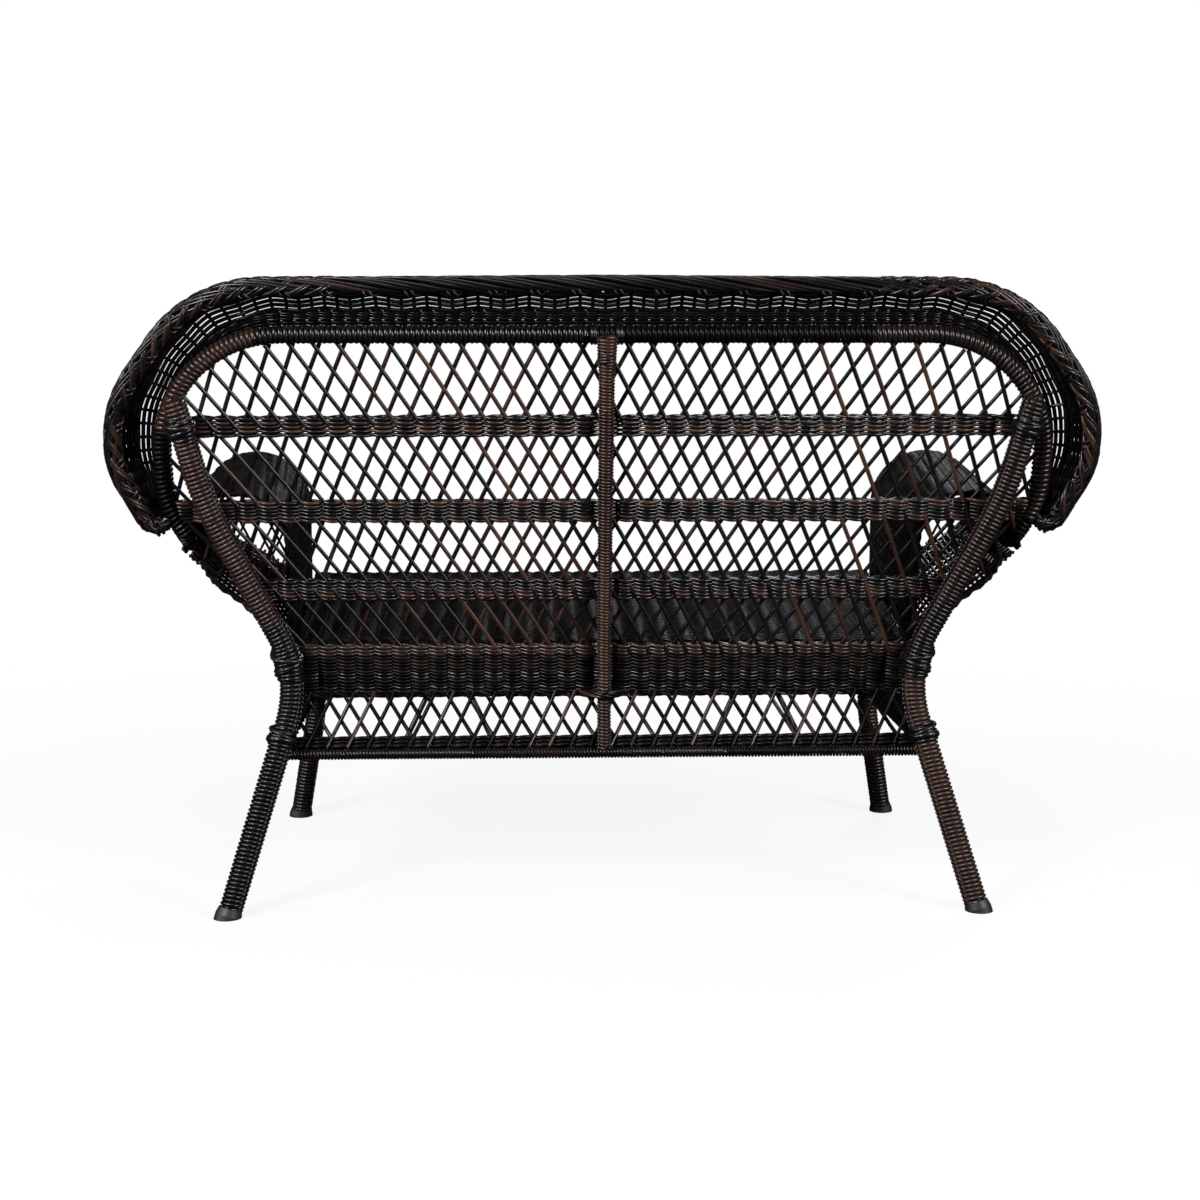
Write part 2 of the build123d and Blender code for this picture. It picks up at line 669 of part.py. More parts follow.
hoop_plane = Plane(origin=(0, hoop_y, 0), x_dir=(1, 0, 0), z_dir=(0, -1, 0))
with BuildPart() as arm_hoop:
    arm_taper = (arm_front_outer_x - arm_rear_outer_x) / (arm_rear_y - arm_front_y)
    hoop_inset = arm_shell + hoop_radius + clearance + arm_taper * (hoop_y + hoop_radius - arm_front_y)
    hoop_corners, hoop_radii = teardrop(hoop_inset)
    hoop_start = (hoop_corners[0][0], front_leg_top + hoop_radius)
    hoop_end = (front_leg_x, teardrop_foot_z)
    hoop_route = [hoop_start] + hoop_corners[:3] + [hoop_end]
    tube([hoop_plane.from_local_coords(Vector(*p)) for p in hoop_route], hoop_radii, hoop_radius)
    cope(front_leg)
save_pair(arm_hoop, "arm_hoop")
panel_y = arm_front_y - arm_panel_thickness / 2 - clearance
panel_plane = Plane(origin=(0, panel_y, 0), x_dir=(1, 0, 0), z_dir=(0, -1, 0))
with BuildPart() as arm_front:
    corners, radii = teardrop(0)
    base = front_bottom + clearance
    with BuildSketch() as tear:
        with BuildLine():
            FilletPolyline((arm_front_inner_x, base), *corners, radius=radii)
            Polyline(corners[-1], (corners[-1][0], base), (arm_front_inner_x, base))
        make_face()
    middle = (arm_front_inner_x + arm_front_outer_x) / 2
    gaps = diamonds(arm_front_outer_x - middle, 0, arm_spring_z, arm_panel_pitch, arm_panel_rise)
    shifted = [[(x + middle, y) for x, y in shape] for shape in gaps]
    net(panel_plane, tear.sketch, arm_panel_border, shifted, arm_panel_thickness)
save_pair(arm_front, "arm_front")
rim_plane = panel_plane.offset(arm_panel_thickness / 2 + arm_rim_radius + clearance)
with BuildPart() as arm_front_rim:
    rim_corners, rim_radii = teardrop(arm_rim_radius)
    rim_start = (rim_corners[0][0], base + arm_rim_radius)
    rim_points = [rim_plane.from_local_coords(Vector(*p)) for p in [rim_start] + rim_corners]
    tube(rim_points, rim_radii, arm_rim_radius)
save_pair(arm_front_rim, "arm_front_rim")


def side_face(y, top, bottom):
    """The outer side panel's section at one station, between the two rails."""
    outer_line = []
    for across_share, down_share in side_panel_shares:
        across = top[0] + (bottom[0] - top[0]) * across_share
        outer_line.append((across, top[1] + (bottom[1] - top[1]) * down_share))
    inner_line = [(x - side_panel_thickness, z + side_panel_thickness) for x, z in outer_line]
    with BuildSketch(Plane(origin=(0, y, 0), x_dir=(1, 0, 0), z_dir=(0, -1, 0))) as face:
        with BuildLine():
            Spline(*outer_line)
            Line(outer_line[-1], inner_line[-1])
            Spline(*reversed(inner_line))
            Line(inner_line[0], outer_line[0])
        make_face()
    return face.sketch


side_front_y = hoop_y + hoop_radius + clearance
side_top_z = arm_rail_z - bow_radius - side_panel_thickness - clearance
with BuildPart() as arm_side:
    front_top_point = (arm_rail_front_x, side_top_z)
    rear_top_point = (bow_end_x, side_top_z)
    rail_side = seat_rail_radius + side_panel_thickness + clearance
    front_low = (front_leg_x + rail_side, seat(0, side_front_y, -rail_drop).Z)
    rear_low = (seat_rear_half_width + rail_side, seat(0, arm_rear_y, -rail_drop).Z)
    rear_face = side_face(arm_rear_y, rear_top_point, rear_low)
    loft([rear_face, side_face(side_front_y, front_top_point, front_low)], ruled=True)
    split(bisect_by=weave_front, keep=Keep.TOP)
    cope(arm_rail, front_leg, seat_rail)
save_pair(arm_side, "arm_side")

# Collar: the weave carried over the bow and rolled back, and the braid that finishes it.
rim_tip = (bow_half_width + rim_tip_overhang, bow_turn_height - rim_tip_drop, rim_tip_behind)
rim_hip = (bow_half_width + rim_hip_overhang, bow_turn_height + rim_hip_rise, rim_behind)
rim_cheek = (bow_half_width + rim_cheek_overhang, bow_turn_height + rim_cheek_rise, rim_behind)
rim_shoulder = (bow_half_width - rim_shoulder_inset, bow_top + rim_shoulder_rise, rim_behind)
rim_crown = (0, bow_top + rim_crown_rise, rim_behind)
rim_side = [rim_tip, rim_hip, rim_cheek, rim_shoulder]
side_radii = [rim_hip_radius, rim_cheek_radius, rim_shoulder_radius]
rim_radii = side_radii + [rim_crown_radius] + side_radii[::-1]
rim_half = [back(*point) for point in rim_side]
with BuildPart() as collar_rim:
    tube(rim_half + [back(*rim_crown)] + [flip(point) for point in reversed(rim_half)], rim_radii, rim_radius)
    fillet(faces().filter_by(GeomType.PLANE).edges(), rim_end_radius)
save(collar_rim, "collar_rim")
with BuildPart() as collar:
    with BuildLine() as bow_line:
        FilletPolyline(*bow_points, radius=bow_radii)
    tangent = bow_line.line % 0
    roll_centre = Vector(0, collar_radius - bow_radius - clearance)
    collar_outer = collar_radius + collar_thickness
    turn = radians(collar_sweep)
    edge = Vector(sin(turn), -cos(turn))
    with BuildSketch(Plane(bow_line.line @ 0, x_dir=rearward.cross(tangent), z_dir=tangent)):
        with BuildLine():
            CenterArc(roll_centre, collar_radius, -90, collar_sweep)
            Line(roll_centre + edge * collar_radius, roll_centre + edge * collar_outer)
            CenterArc(roll_centre, collar_outer, collar_sweep - 90, -collar_sweep)
            Line(roll_centre - Vector(0, collar_outer), roll_centre - Vector(0, collar_radius))
        make_face()
    sweep(path=bow_line.line)
    with BuildSketch(back_plane.offset(-2 * overrun)):
        with BuildLine():
            rim_left = [(-x, height) for x, height, behind in reversed(rim_side)]
            rim_right = [(x, height) for x, height, behind in rim_side]
            FilletPolyline(*rim_right, rim_crown[:2], *rim_left, radius=rim_radii)
            Line(rim_left[-1], rim_right[0])
        make_face()
    extrude(amount=4 * overrun, mode=Mode.INTERSECT)
    cope(collar_rim)
save(collar, "collar")

# Right-hand pieces are mirror images of the left-hand ones.
for name, left_piece in left_parts.items():
    with BuildPart() as right_piece:
        mirror(left_piece.part, about=Plane.YZ)
    save(right_piece, f"{name}_right")
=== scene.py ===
import random
from bisect import bisect_right
from math import cos, pi, radians, sin, sqrt, tan

import bpy
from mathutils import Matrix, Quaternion, Vector


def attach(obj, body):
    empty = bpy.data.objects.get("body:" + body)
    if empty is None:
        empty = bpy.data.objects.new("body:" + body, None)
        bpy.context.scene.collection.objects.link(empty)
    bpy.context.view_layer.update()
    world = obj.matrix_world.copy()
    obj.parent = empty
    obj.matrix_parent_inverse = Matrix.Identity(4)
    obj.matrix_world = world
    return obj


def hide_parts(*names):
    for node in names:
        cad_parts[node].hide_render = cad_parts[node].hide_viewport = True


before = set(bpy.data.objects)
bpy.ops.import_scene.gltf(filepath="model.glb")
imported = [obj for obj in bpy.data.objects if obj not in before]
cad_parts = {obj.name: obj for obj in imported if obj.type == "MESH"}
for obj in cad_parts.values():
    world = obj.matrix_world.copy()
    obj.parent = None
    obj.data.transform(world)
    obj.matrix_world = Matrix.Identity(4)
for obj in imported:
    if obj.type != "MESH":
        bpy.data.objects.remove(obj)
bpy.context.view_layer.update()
scene = bpy.context.scene

# The view is from behind the seat, a little to the left of its middle and slightly down.
# The lens and the place of the camera are those of a real one 3.3 metres away.
lens_millimetres, sensor_millimetres = 64.8, 36.0
camera_place = (0.1144, 3.2944, 0.8944)
camera_sight = Vector((-0.0348, -0.98916, -0.14263))
camera_data = bpy.data.cameras.new("camera")
camera_data.lens, camera_data.sensor_width = lens_millimetres, sensor_millimetres
camera = bpy.data.objects.new("camera", camera_data)
camera.location = camera_place
camera.rotation_euler = camera_sight.to_track_quat("-Z", "Y").to_euler()
scene.collection.objects.link(camera)
scene.camera = camera
scene.view_settings.view_transform = "Standard"

# Studio light: soft panels behind the seat, in front of it, overhead and at both sides, each
# with its place, width and watts, and a faint even light all round. The backdrop is white.
panels = {
    "panel_rear_left": ((2.2, 2.9, 2.5), 1.1, 130.0),
    "panel_rear_right": ((-2.7, 2.6, 2.1), 1.0, 88.0),
    "panel_overhead": ((0.0, 1.3, 3.5), 1.2, 17.0),
    "panel_front": ((-1.3, -3.4, 2.6), 1.5, 62.0),
    "panel_side_left": ((3.1, 1.3, 1.2), 0.9, 34.0),
    "panel_side_right": ((-3.1, 1.3, 1.2), 0.9, 22.0),
}
light_aim = Vector((0.0, 0.0, 0.55))
for name, (place, size, watts) in panels.items():
    lamp = bpy.data.lights.new(name, "AREA")
    lamp.shape, lamp.size, lamp.energy = "SQUARE", size, watts
    lamp_object = bpy.data.objects.new(name, lamp)
    lamp_object.location = place
    lamp_object.rotation_euler = (light_aim - Vector(place)).to_track_quat("-Z", "Y").to_euler()
    scene.collection.objects.link(lamp_object)

sky_strength = 0.034
world = bpy.data.worlds.new("studio")
scene.world = world
world.use_nodes = True
wn, wl = world.node_tree.nodes, world.node_tree.links
wn.clear()
sky_seen, sky_light = wn.new("ShaderNodeBackground"), wn.new("ShaderNodeBackground")
for sky, strength in ((sky_seen, 1.0), (sky_light, sky_strength)):
    sky.inputs["Color"].default_value = (1.0, 1.0, 1.0, 1.0)
    sky.inputs["Strength"].default_value = strength
light_path, sky_mix = wn.new("ShaderNodeLightPath"), wn.new("ShaderNodeMixShader")
wl.new(light_path.outputs["Is Camera Ray"], sky_mix.inputs["Fac"])
wl.new(sky_light.outputs["Background"], sky_mix.inputs[1])
wl.new(sky_seen.outputs["Background"], sky_mix.inputs[2])
wl.new(sky_mix.outputs["Shader"], wn.new("ShaderNodeOutputWorld").inputs["Surface"])

# Floor: pale matt paper that fades to plain white with the distance from the seat. Only the
# camera sees it pale: the seat gets no more light back from it than from a dark grey card.
fade_start, fade_end, least_white = 0.5, 2.2, 0.86
bpy.ops.mesh.primitive_plane_add(size=60.0)
floor = bpy.context.object
floor.name = "floor"
floor_paint = bpy.data.materials.new("floor_paint")
floor_paint.use_nodes = True
fn, fl = floor_paint.node_tree.nodes, floor_paint.node_tree.links
paper = fn["Principled BSDF"]
paper.inputs["Base Color"].default_value = (0.93, 0.93, 0.93, 1.0)
paper.inputs["Roughness"].default_value = 0.9
far_white, far_mix = fn.new("ShaderNodeEmission"), fn.new("ShaderNodeMixShader")
floor_place, floor_reach, floor_fade, floor_path, seen_white = (
    fn.new("ShaderNodeTexCoord"), fn.new("ShaderNodeVectorMath"), fn.new("ShaderNodeMapRange"),
    fn.new("ShaderNodeLightPath"), fn.new("ShaderNodeMath"))
seen_white.operation = "MULTIPLY"
floor_reach.operation = "LENGTH"
floor_fade.interpolation_type = "SMOOTHSTEP"
floor_fade.inputs["From Min"].default_value = fade_start
floor_fade.inputs["From Max"].default_value = fade_end
floor_fade.inputs["To Min"].default_value = least_white
fl.new(floor_place.outputs["Object"], floor_reach.inputs[0])
fl.new(floor_reach.outputs["Value"], floor_fade.inputs["Value"])
fl.new(floor_fade.outputs["Result"], seen_white.inputs[0])
fl.new(floor_path.outputs["Is Camera Ray"], seen_white.inputs[1])
fl.new(seen_white.outputs["Value"], far_mix.inputs["Fac"])
grey_card, paper_mix = fn.new("ShaderNodeBsdfDiffuse"), fn.new("ShaderNodeMixShader")
grey_card.inputs["Color"].default_value = (0.045, 0.045, 0.05, 1.0)
fl.new(floor_path.outputs["Is Camera Ray"], paper_mix.inputs["Fac"])
fl.new(grey_card.outputs["BSDF"], paper_mix.inputs[1])
fl.new(paper.outputs["BSDF"], paper_mix.inputs[2])
fl.new(paper_mix.outputs["Shader"], far_mix.inputs[1])
fl.new(far_white.outputs["Emission"], far_mix.inputs[2])
fl.new(far_mix.outputs["Shader"], fn["Material Output"].inputs["Surface"])
floor.data.materials.append(floor_paint)

# Rear legs: each is one bent steel tube from the bow down the back to the waist and out to
# its foot, close-wound with round resin strand. Two seams of finer strand are laced down its
# inner side.
across_way, rear_way, up_way = Vector((1.0, 0.0, 0.0)), Vector((0.0, 1.0, 0.0)), Vector((0.0, 0.0, 1.0))
back_lean = radians(14.6)
back_base = Vector((0.0, 0.180, 0.345))
up_slope = Vector((0.0, sin(back_lean), cos(back_lean)))
rearward = Vector((0.0, cos(back_lean), -sin(back_lean)))
bow_half_width, bow_top, bow_corner_radius = 0.620, 0.504, 0.175
bow_turn_height, bow_turn_radius = 0.262, 0.135
bow_end_x, bow_end_height = 0.586, 0.196
bow_radius, leg_radius, clearance = 0.0135, 0.017, 0.0003
post_gap = bow_radius + leg_radius + clearance
waist_radius, post_bend_radius = 0.165, 0.600
rear_foot = Vector((0.543, 0.271, 0.0))
glide_height = 0.014
leg_strand, leg_pitch = 0.0032, 0.0063


def back(x, height, behind=0.0):
    """A point of the leaning back: across, up the slope from the seat, and behind it."""
    return back_base + across_way * x + up_slope * height + rearward * behind


def resin(name, colour, streak, roughness, shine=0.5):
    """Extruded round resin strand: semi-gloss, with faint streaks and a fine grain."""
    material = bpy.data.materials.new(name)
    material.use_nodes = True
    nodes, links = material.node_tree.nodes, material.node_tree.links
    shader = nodes["Principled BSDF"]
    shader.inputs["Specular IOR Level"].default_value = shine
    place = nodes.new("ShaderNodeTexCoord")
    broad, grain = nodes.new("ShaderNodeTexNoise"), nodes.new("ShaderNodeTexNoise")
    broad.inputs["Scale"].default_value, broad.inputs["Detail"].default_value = 38.0, 3.0
    grain.inputs["Scale"].default_value, grain.inputs["Detail"].default_value = 900.0, 4.0
    tint, gloss = nodes.new("ShaderNodeValToRGB"), nodes.new("ShaderNodeMapRange")
    tint.color_ramp.elements[0].position, tint.color_ramp.elements[1].position = 0.36, 0.68
    tint.color_ramp.elements[0].color = (*colour, 1.0)
    tint.color_ramp.elements[1].color = (*streak, 1.0)
    gloss.inputs["To Min"].default_value = roughness - 0.07
    gloss.inputs["To Max"].default_value = roughness + 0.10
    bump = nodes.new("ShaderNodeBump")
    bump.inputs["Strength"].default_value, bump.inputs["Distance"].default_value = 0.12, 0.0004
    for noise in (broad, grain):
        links.new(place.outputs["Object"], noise.inputs["Vector"])
    links.new(broad.outputs["Fac"], tint.inputs["Fac"])
    links.new(tint.outputs["Color"], shader.inputs["Base Color"])
    links.new(grain.outputs["Fac"], gloss.inputs["Value"])
    links.new(gloss.outputs["Result"], shader.inputs["Roughness"])
    links.new(grain.outputs["Fac"], bump.inputs["Height"])
    links.new(bump.outputs["Normal"], shader.inputs["Normal"])
    return material


resin_tones = [
    resin("resin_black", (0.0026, 0.0026, 0.0034), (0.0055, 0.0055, 0.0070), 0.24),
    resin("resin_soot", (0.0040, 0.0033, 0.0033), (0.0080, 0.0064, 0.0062), 0.26),
    resin("resin_umber", (0.0085, 0.0050, 0.0042), (0.0170, 0.0100, 0.0078), 0.27),
    resin("resin_mocha", (0.0240, 0.0112, 0.0080), (0.0420, 0.0200, 0.0140), 0.28),
    resin("resin_russet", (0.0460, 0.0190, 0.0120), (0.0720, 0.0315, 0.0210), 0.28),
    # The last two tones are black and umber again with little sheen: painted shade where less light falls,
    # and on the bow they soften its highlights.
    resin("resin_black_dull_and_shaded", (0.0024, 0.0023, 0.0027), (0.0050, 0.0046, 0.0050), 0.29, shine=0.12),
    resin("resin_umber_dull_and_shaded", (0.0085, 0.0048, 0.0036), (0.0180, 0.0104, 0.0078), 0.30, shine=0.15),
]
mixed_shares = (0.36, 0.22, 0.20, 0.15, 0.07)
dark_shares = (0.62, 0.26, 0.09, 0.03, 0.0)
brown_shares = (0.10, 0.20, 0.32, 0.28, 0.10)
# The close weaves of the seat, aprons and rolled arms are drawn mostly in the two dull tones, duller than the
# tubes: this is painted shade for the dimmer light that falls on these lower parts.
shaded_shares = (0.05, 0.02, 0.0, 0.0, 0.0, 0.63, 0.30)
# The skirts under the seat take the same dull tones, as painted shade.
shaded_skirt_shares = (0.05, 0.05, 0.06, 0.08, 0.0, 0.46, 0.30)


def rounded(corners, radii, step=0.005):
    """Even points along straight runs that are joined by round bends."""
    rough = [corners[0]]
    for before, corner, after, radius in zip(corners, corners[1:], corners[2:], radii):
        inward, outward = (before - corner).normalized(), (after - corner).normalized()
        half = inward.angle(outward) / 2
        centre = corner + (inward + outward).normalized() * (radius / sin(half))
        start = corner + inward * (radius / tan(half)) - centre
        axis = inward.cross(outward).normalized()
        turn = -(pi - 2 * half)
        rough += [centre + Quaternion(axis, turn * k / 24) @ start for k in range(25)]
    rough.append(corners[-1])
    return even(rough, step)


def even(rough, step):
    """The same line with its points evenly spaced."""
    lengths = [0.0]
    for a, b in zip(rough, rough[1:]):
        lengths.append(lengths[-1] + (b - a).length)
    count = max(2, round(lengths[-1] / step))
    line = []
    for k in range(count + 1):
        reach = lengths[-1] * k / count
        i = min(bisect_right(lengths, reach), len(rough) - 1)
        span = lengths[i] - lengths[i - 1]
        line.append(rough[i - 1].lerp(rough[i], (reach - lengths[i - 1]) / span if span else 0.0))
    return line


class Rail:
    """A centre line with a steady side direction, to wind or lace a strand about."""

    def __init__(self, line, side):
        self.line, self.sides = line, []
        self.step = (line[1] - line[0]).length
        self.length = self.step * (len(line) - 1)
        tangent = (line[1] - line[0]).normalized()
        side = (side - tangent * side.dot(tangent)).normalized()
        for k in range(len(line)):
            ahead = (line[min(k + 1, len(line) - 1)] - line[max(k - 1, 0)]).normalized()
            side = (tangent.rotation_difference(ahead) @ side).normalized()
            tangent = ahead
            self.sides.append((side, ahead.cross(side)))

    def at(self, reach, radius, angle):
        """The point at a distance along the rail, out from it at an angle from its side."""
        spot = min(max(reach / self.step, 0.0), len(self.line) - 1.001)
        k = int(spot)
        share = spot - k
        side = self.sides[k][0].lerp(self.sides[k + 1][0], share)
        other = self.sides[k][1].lerp(self.sides[k + 1][1], share)
        centre = self.line[k].lerp(self.line[k + 1], share)
        return centre + side * (radius * cos(angle)) + other * (radius * sin(angle))


def wind(rail, radius, strand, pitch, turn_points, profile, seed):
    """Close turns of strand round a rail, in lengths of 14 to 44 turns that each have one colour."""
    draw = random.Random(seed)
    total = int(rail.length / pitch * turn_points)
    lengths, k = [], 0
    while k < total:
        last = min(total, k + draw.randint(14, 44) * turn_points)
        points = []
        for i in range(k, last + 1):
            reach = i * pitch / turn_points
            swell = profile(reach / rail.length) if profile else 1.0
            wobble = draw.uniform(-0.04, 0.04) * strand
            points.append(rail.at(reach, (radius - strand) * swell + wobble, 2 * pi * i / turn_points))
        lengths.append(points)
        k = last
    return lengths


def lace(rail, radius, strand, pitch, angle):
    """A seam laced along a rail: the strand dips under each turn and shows as a row of beads."""
    points = []
    for k in range(int(rail.length / pitch * 4) + 1):
        lift = (0.55, 0.0, -0.9, 0.0)[k % 4] * strand
        sway = (0.0, 0.5, 0.0, -0.5)[k % 4] * strand
        points.append(rail.at(k * pitch / 4, radius - strand + lift, angle + sway / radius))
    return points


def strands(name, routes, radius, shares, seed, widths=None):
    """One mesh of round strands, each along its own route and in a colour drawn by share."""
    curve = bpy.data.curves.new(name, "CURVE")
    curve.dimensions, curve.bevel_depth, curve.bevel_resolution = "3D", radius, 1
    curve.use_fill_caps = True
    for material in resin_tones:
        curve.materials.append(material)
    draw = random.Random(seed)
    for k, route in enumerate(routes):
        spline = curve.splines.new("POLY")
        spline.points.add(len(route) - 1)
        spline.points.foreach_set("co", [value for p in route for value in (p.x, p.y, p.z, 1.0)])
        spline.points.foreach_set("radius", [(widths[k] if widths else 1.0)] * len(route))
        spline.use_smooth = True
        spline.material_index = draw.choices(range(len(shares)), shares)[0]
    holder = bpy.data.objects.new(name + "_routes", curve)
    scene.collection.objects.link(holder)
    mesh = bpy.data.meshes.new_from_object(holder)
    mesh.name = name
    mesh.shade_smooth()
    piece = bpy.data.objects.new(name, mesh)
    scene.collection.objects.link(piece)
    bpy.data.objects.remove(holder)
    return piece


def fasten(piece, slot, *nodes):
    """Every piece is tied to the one frame and may stand for nodes, whose parts it hides; the slot is not
    used.
    """
    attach(piece, "root")
    if nodes:
        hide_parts(*nodes)


def flip(point):
    return Vector((-point.x, point.y, point.z))


def handed(routes, sign):
    """The routes as they are for the left hand, or mirrored for the right."""
    return routes if sign > 0 else [[flip(point) for point in route] for route in routes]


def wound_tube(name, corners, radii, radius, strand, pitch, shares, seed, side=rear_way,
               seams=(), extra=(), profile=None, sign=1, turn_points=14):
    """A tube wound with strand: a dark core, its turns, its laced seams and any extra routes."""
    rail = Rail(rounded(corners, radii) if radii else even(corners, 0.005), side)
    turns = wind(rail, radius, strand, pitch, turn_points, profile, seed)
    laced = [lace(rail, radius + 0.25 * strand, 0.55 * strand, pitch, angle) for angle in seams]
    core = even(rail.line, 0.02)
    routes = handed([core] + turns + laced + list(extra), sign)
    core_width = (radius - 1.7 * strand) / strand
    widths = [core_width] + [1.0] * len(turns) + [0.55] * len(laced) + [1.0] * len(extra)
    return strands(name, routes, strand, shares, seed, widths=widths)


waist = back(0.438, 0.005, post_gap)
post_bend = back(bow_half_width - 0.058, bow_top - 0.234, post_gap)
post_top = back(bow_half_width - 0.025, bow_top - 0.082, post_gap)
leg_run = (rear_foot - waist).normalized()
post_run = (waist - post_bend).normalized()
upper_run = (post_bend - post_top).normalized()
rear_leg_route = [post_top, post_bend, waist, rear_foot - leg_run * glide_height]
hands = (("left", 1), ("right", -1))
for hand, sign in hands:
    piece = wound_tube(f"rear_leg_winding_{hand}", rear_leg_route, [post_bend_radius, waist_radius],
                       leg_radius, leg_strand, leg_pitch, brown_shares, 11 + sign,
                       seams=(-0.3 * pi, -0.5 * pi), sign=sign,
                       profile=lambda share: min(1.0, 0.4 + 0.6 * sqrt(share / 0.02)))
    fasten(piece, "bound_tube", f"rear_leg_{hand}")

# Glides: black moulded feet that flare under each leg, pressed on the tube's end. They are
# turned solids, finished as satin plastic with faint grey streaks.
glide_plastic = resin("glide_plastic", (0.010, 0.010, 0.011), (0.026, 0.026, 0.027), 0.46)
for end in ("rear", "front"):
    for hand, sign in hands:
        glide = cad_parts[f"foot_glide_{end}_{hand}"]
        glide.data.materials.clear()
        glide.data.materials.append(glide_plastic)

# Back bow and arm rails: one bent tube over the back, carried on forward under each arm. The
# bow's strand is a little coarser than the legs', with a seam laced along its inner side, and
# the arm rails' strand is finer.
bow_end = Vector((bow_end_x, bow_end_height))
bow_turn = Vector((bow_half_width, bow_turn_height))
bow_split = bow_end + (bow_turn - bow_end).normalized() * 0.040
bow_half = [back(*bow_split), back(*bow_turn), back(bow_half_width, bow_top)]
bow_strand, bow_pitch, rail_strand, rail_pitch = 0.0036, 0.0072, 0.0030, 0.0060
bow_route = bow_half + [flip(point) for point in reversed(bow_half)]
bow_radii = [bow_turn_radius, bow_corner_radius, bow_corner_radius, bow_turn_radius]
bow_shares = (0.30, 0.20, 0.12, 0.06, 0.0, 0.18, 0.14)
piece = wound_tube("back_bow_winding", bow_route, bow_radii, bow_radius, bow_strand, bow_pitch,
                   bow_shares, 21, side=rearward, seams=(0.62 * pi,), turn_points=12)
fasten(piece, "bound_tube", "back_bow")
hoop_y, hoop_radius = -0.309, 0.008
arm_front_outer_x, arm_rear_outer_x = 0.652, 0.597
arm_rail_rear = back(bow_end_x, bow_end_height)
arm_rail_z, arm_rail_front_x = arm_rail_rear.z, arm_front_outer_x - 0.011
arm_rail_front = Vector((arm_rail_front_x, hoop_y + hoop_radius + 0.002, arm_rail_z))
for hand, sign in hands:
    piece = wound_tube(f"arm_rail_winding_{hand}", [bow_half[0], arm_rail_rear, arm_rail_front], [0.045],
                       bow_radius, rail_strand, rail_pitch, bow_shares, 25 + sign, side=rearward,
                       sign=sign, turn_points=12)
    fasten(piece, "bound_tube", f"arm_rail_{hand}")

# Bindings: thick extra turns over each joint of the rear legs, bulging in the middle, with a
# few wraps crossed over them to lock the end of the strand.
tie_strand, tie_pitch = 0.0030, 0.0059
bow_tie = [post_top + upper_run * 0.028, post_top + upper_run * 0.058]
bend_line = rounded([waist - post_run * 0.12, waist, waist + leg_run * 0.12], [waist_radius], 0.001)
bend_middle, millimetres_above, millimetres_below = len(bend_line) // 2, 48, 5
waist_tie = bend_line[bend_middle - millimetres_above:bend_middle + millimetres_below]
lower_tie = [waist + leg_run * 0.080, waist + leg_run * 0.106]
ties = {"bow_binding": (bow_tie, 0.0205), "waist_binding": (waist_tie, 0.0218),
        "lower_binding": (lower_tie, 0.0212)}
for tie, (line, tie_radius) in ties.items():
    rail = Rail(even(line, 0.005), rear_way)
    wraps = []
    for first, last in ((0.12, 0.88), (0.86, 0.10), (0.3, 0.72)):
        wraps.append([rail.at(rail.length * (first + (last - first) * k / 24), tie_radius - 0.0016,
                              0.6 * pi + 2.1 * pi * k / 24) for k in range(25)])
    for hand, sign in hands:
        piece = wound_tube(f"{tie}_winding_{hand}", line, [], tie_radius, tie_strand, tie_pitch,
                           dark_shares, 31 + sign, extra=wraps, sign=sign,
                           profile=lambda share: 0.88 + 0.10 * sin(pi * share))
        fasten(piece, "joint_binding", f"{tie}_{hand}")

# Centre post: a slim flat post behind the lattice, bound in a figure of eight in a lighter
# brown, which leaves beads down each edge. It spreads over the bow and is tied to it there,
# and low down a twisted rope passes over it.
post_centre_gap = 0.014
centre_route = [back(0.0, bow_top + 0.002, 0.019),
                back(0.0, bow_top - bow_radius - 0.016, post_centre_gap + 0.001),
                back(0.0, -0.005, post_centre_gap), Vector((0.0, 0.214, 0.2315))]
centre_rail = Rail(rounded(centre_route, [0.080, waist_radius]), rearward)
centre_half, centre_strand, centre_pitch, tie_cord = 0.0095, 0.0021, 0.0048, 0.0023
rope_height, rope_lay, hump_reach, hump_height = -0.039, 0.085, 0.036, 0.015


def centre_width(reach):
    """Half of the post's width, which spreads at the bow and narrows to the skirt."""
    return 0.0083 - 0.0014 * min(1.0, reach / 0.45) + 0.0034 * max(0.0, 1.0 - reach / 0.055)


def rope(places, size, height, behind):
    """Four cords twisted together across the back, at each place's height and depth."""
    cords = []
    for turn in (0.0, 0.5 * pi, pi, 1.5 * pi):
        angles = [2 * pi * x / rope_lay + turn for x in places]
        cords.append([back(x, height(x) + size * sin(angle), behind(x) + size * cos(angle))
                      for x, angle in zip(places, angles)])
    return cords


def post_ring(k):
    """One of the sixteen points of a turn of cord round the post, from its middle."""
    return rearward * (0.0108 * cos(2 * pi * k / 16)) + across_way * (0.0112 * sin(2 * pi * k / 16))


def bow_ring(k):
    """One of the sixteen points of a loop of cord round the bow, from its middle."""
    return (rearward * cos(2 * pi * k / 16) + up_slope * sin(2 * pi * k / 16)) * (bow_radius - 0.0006)


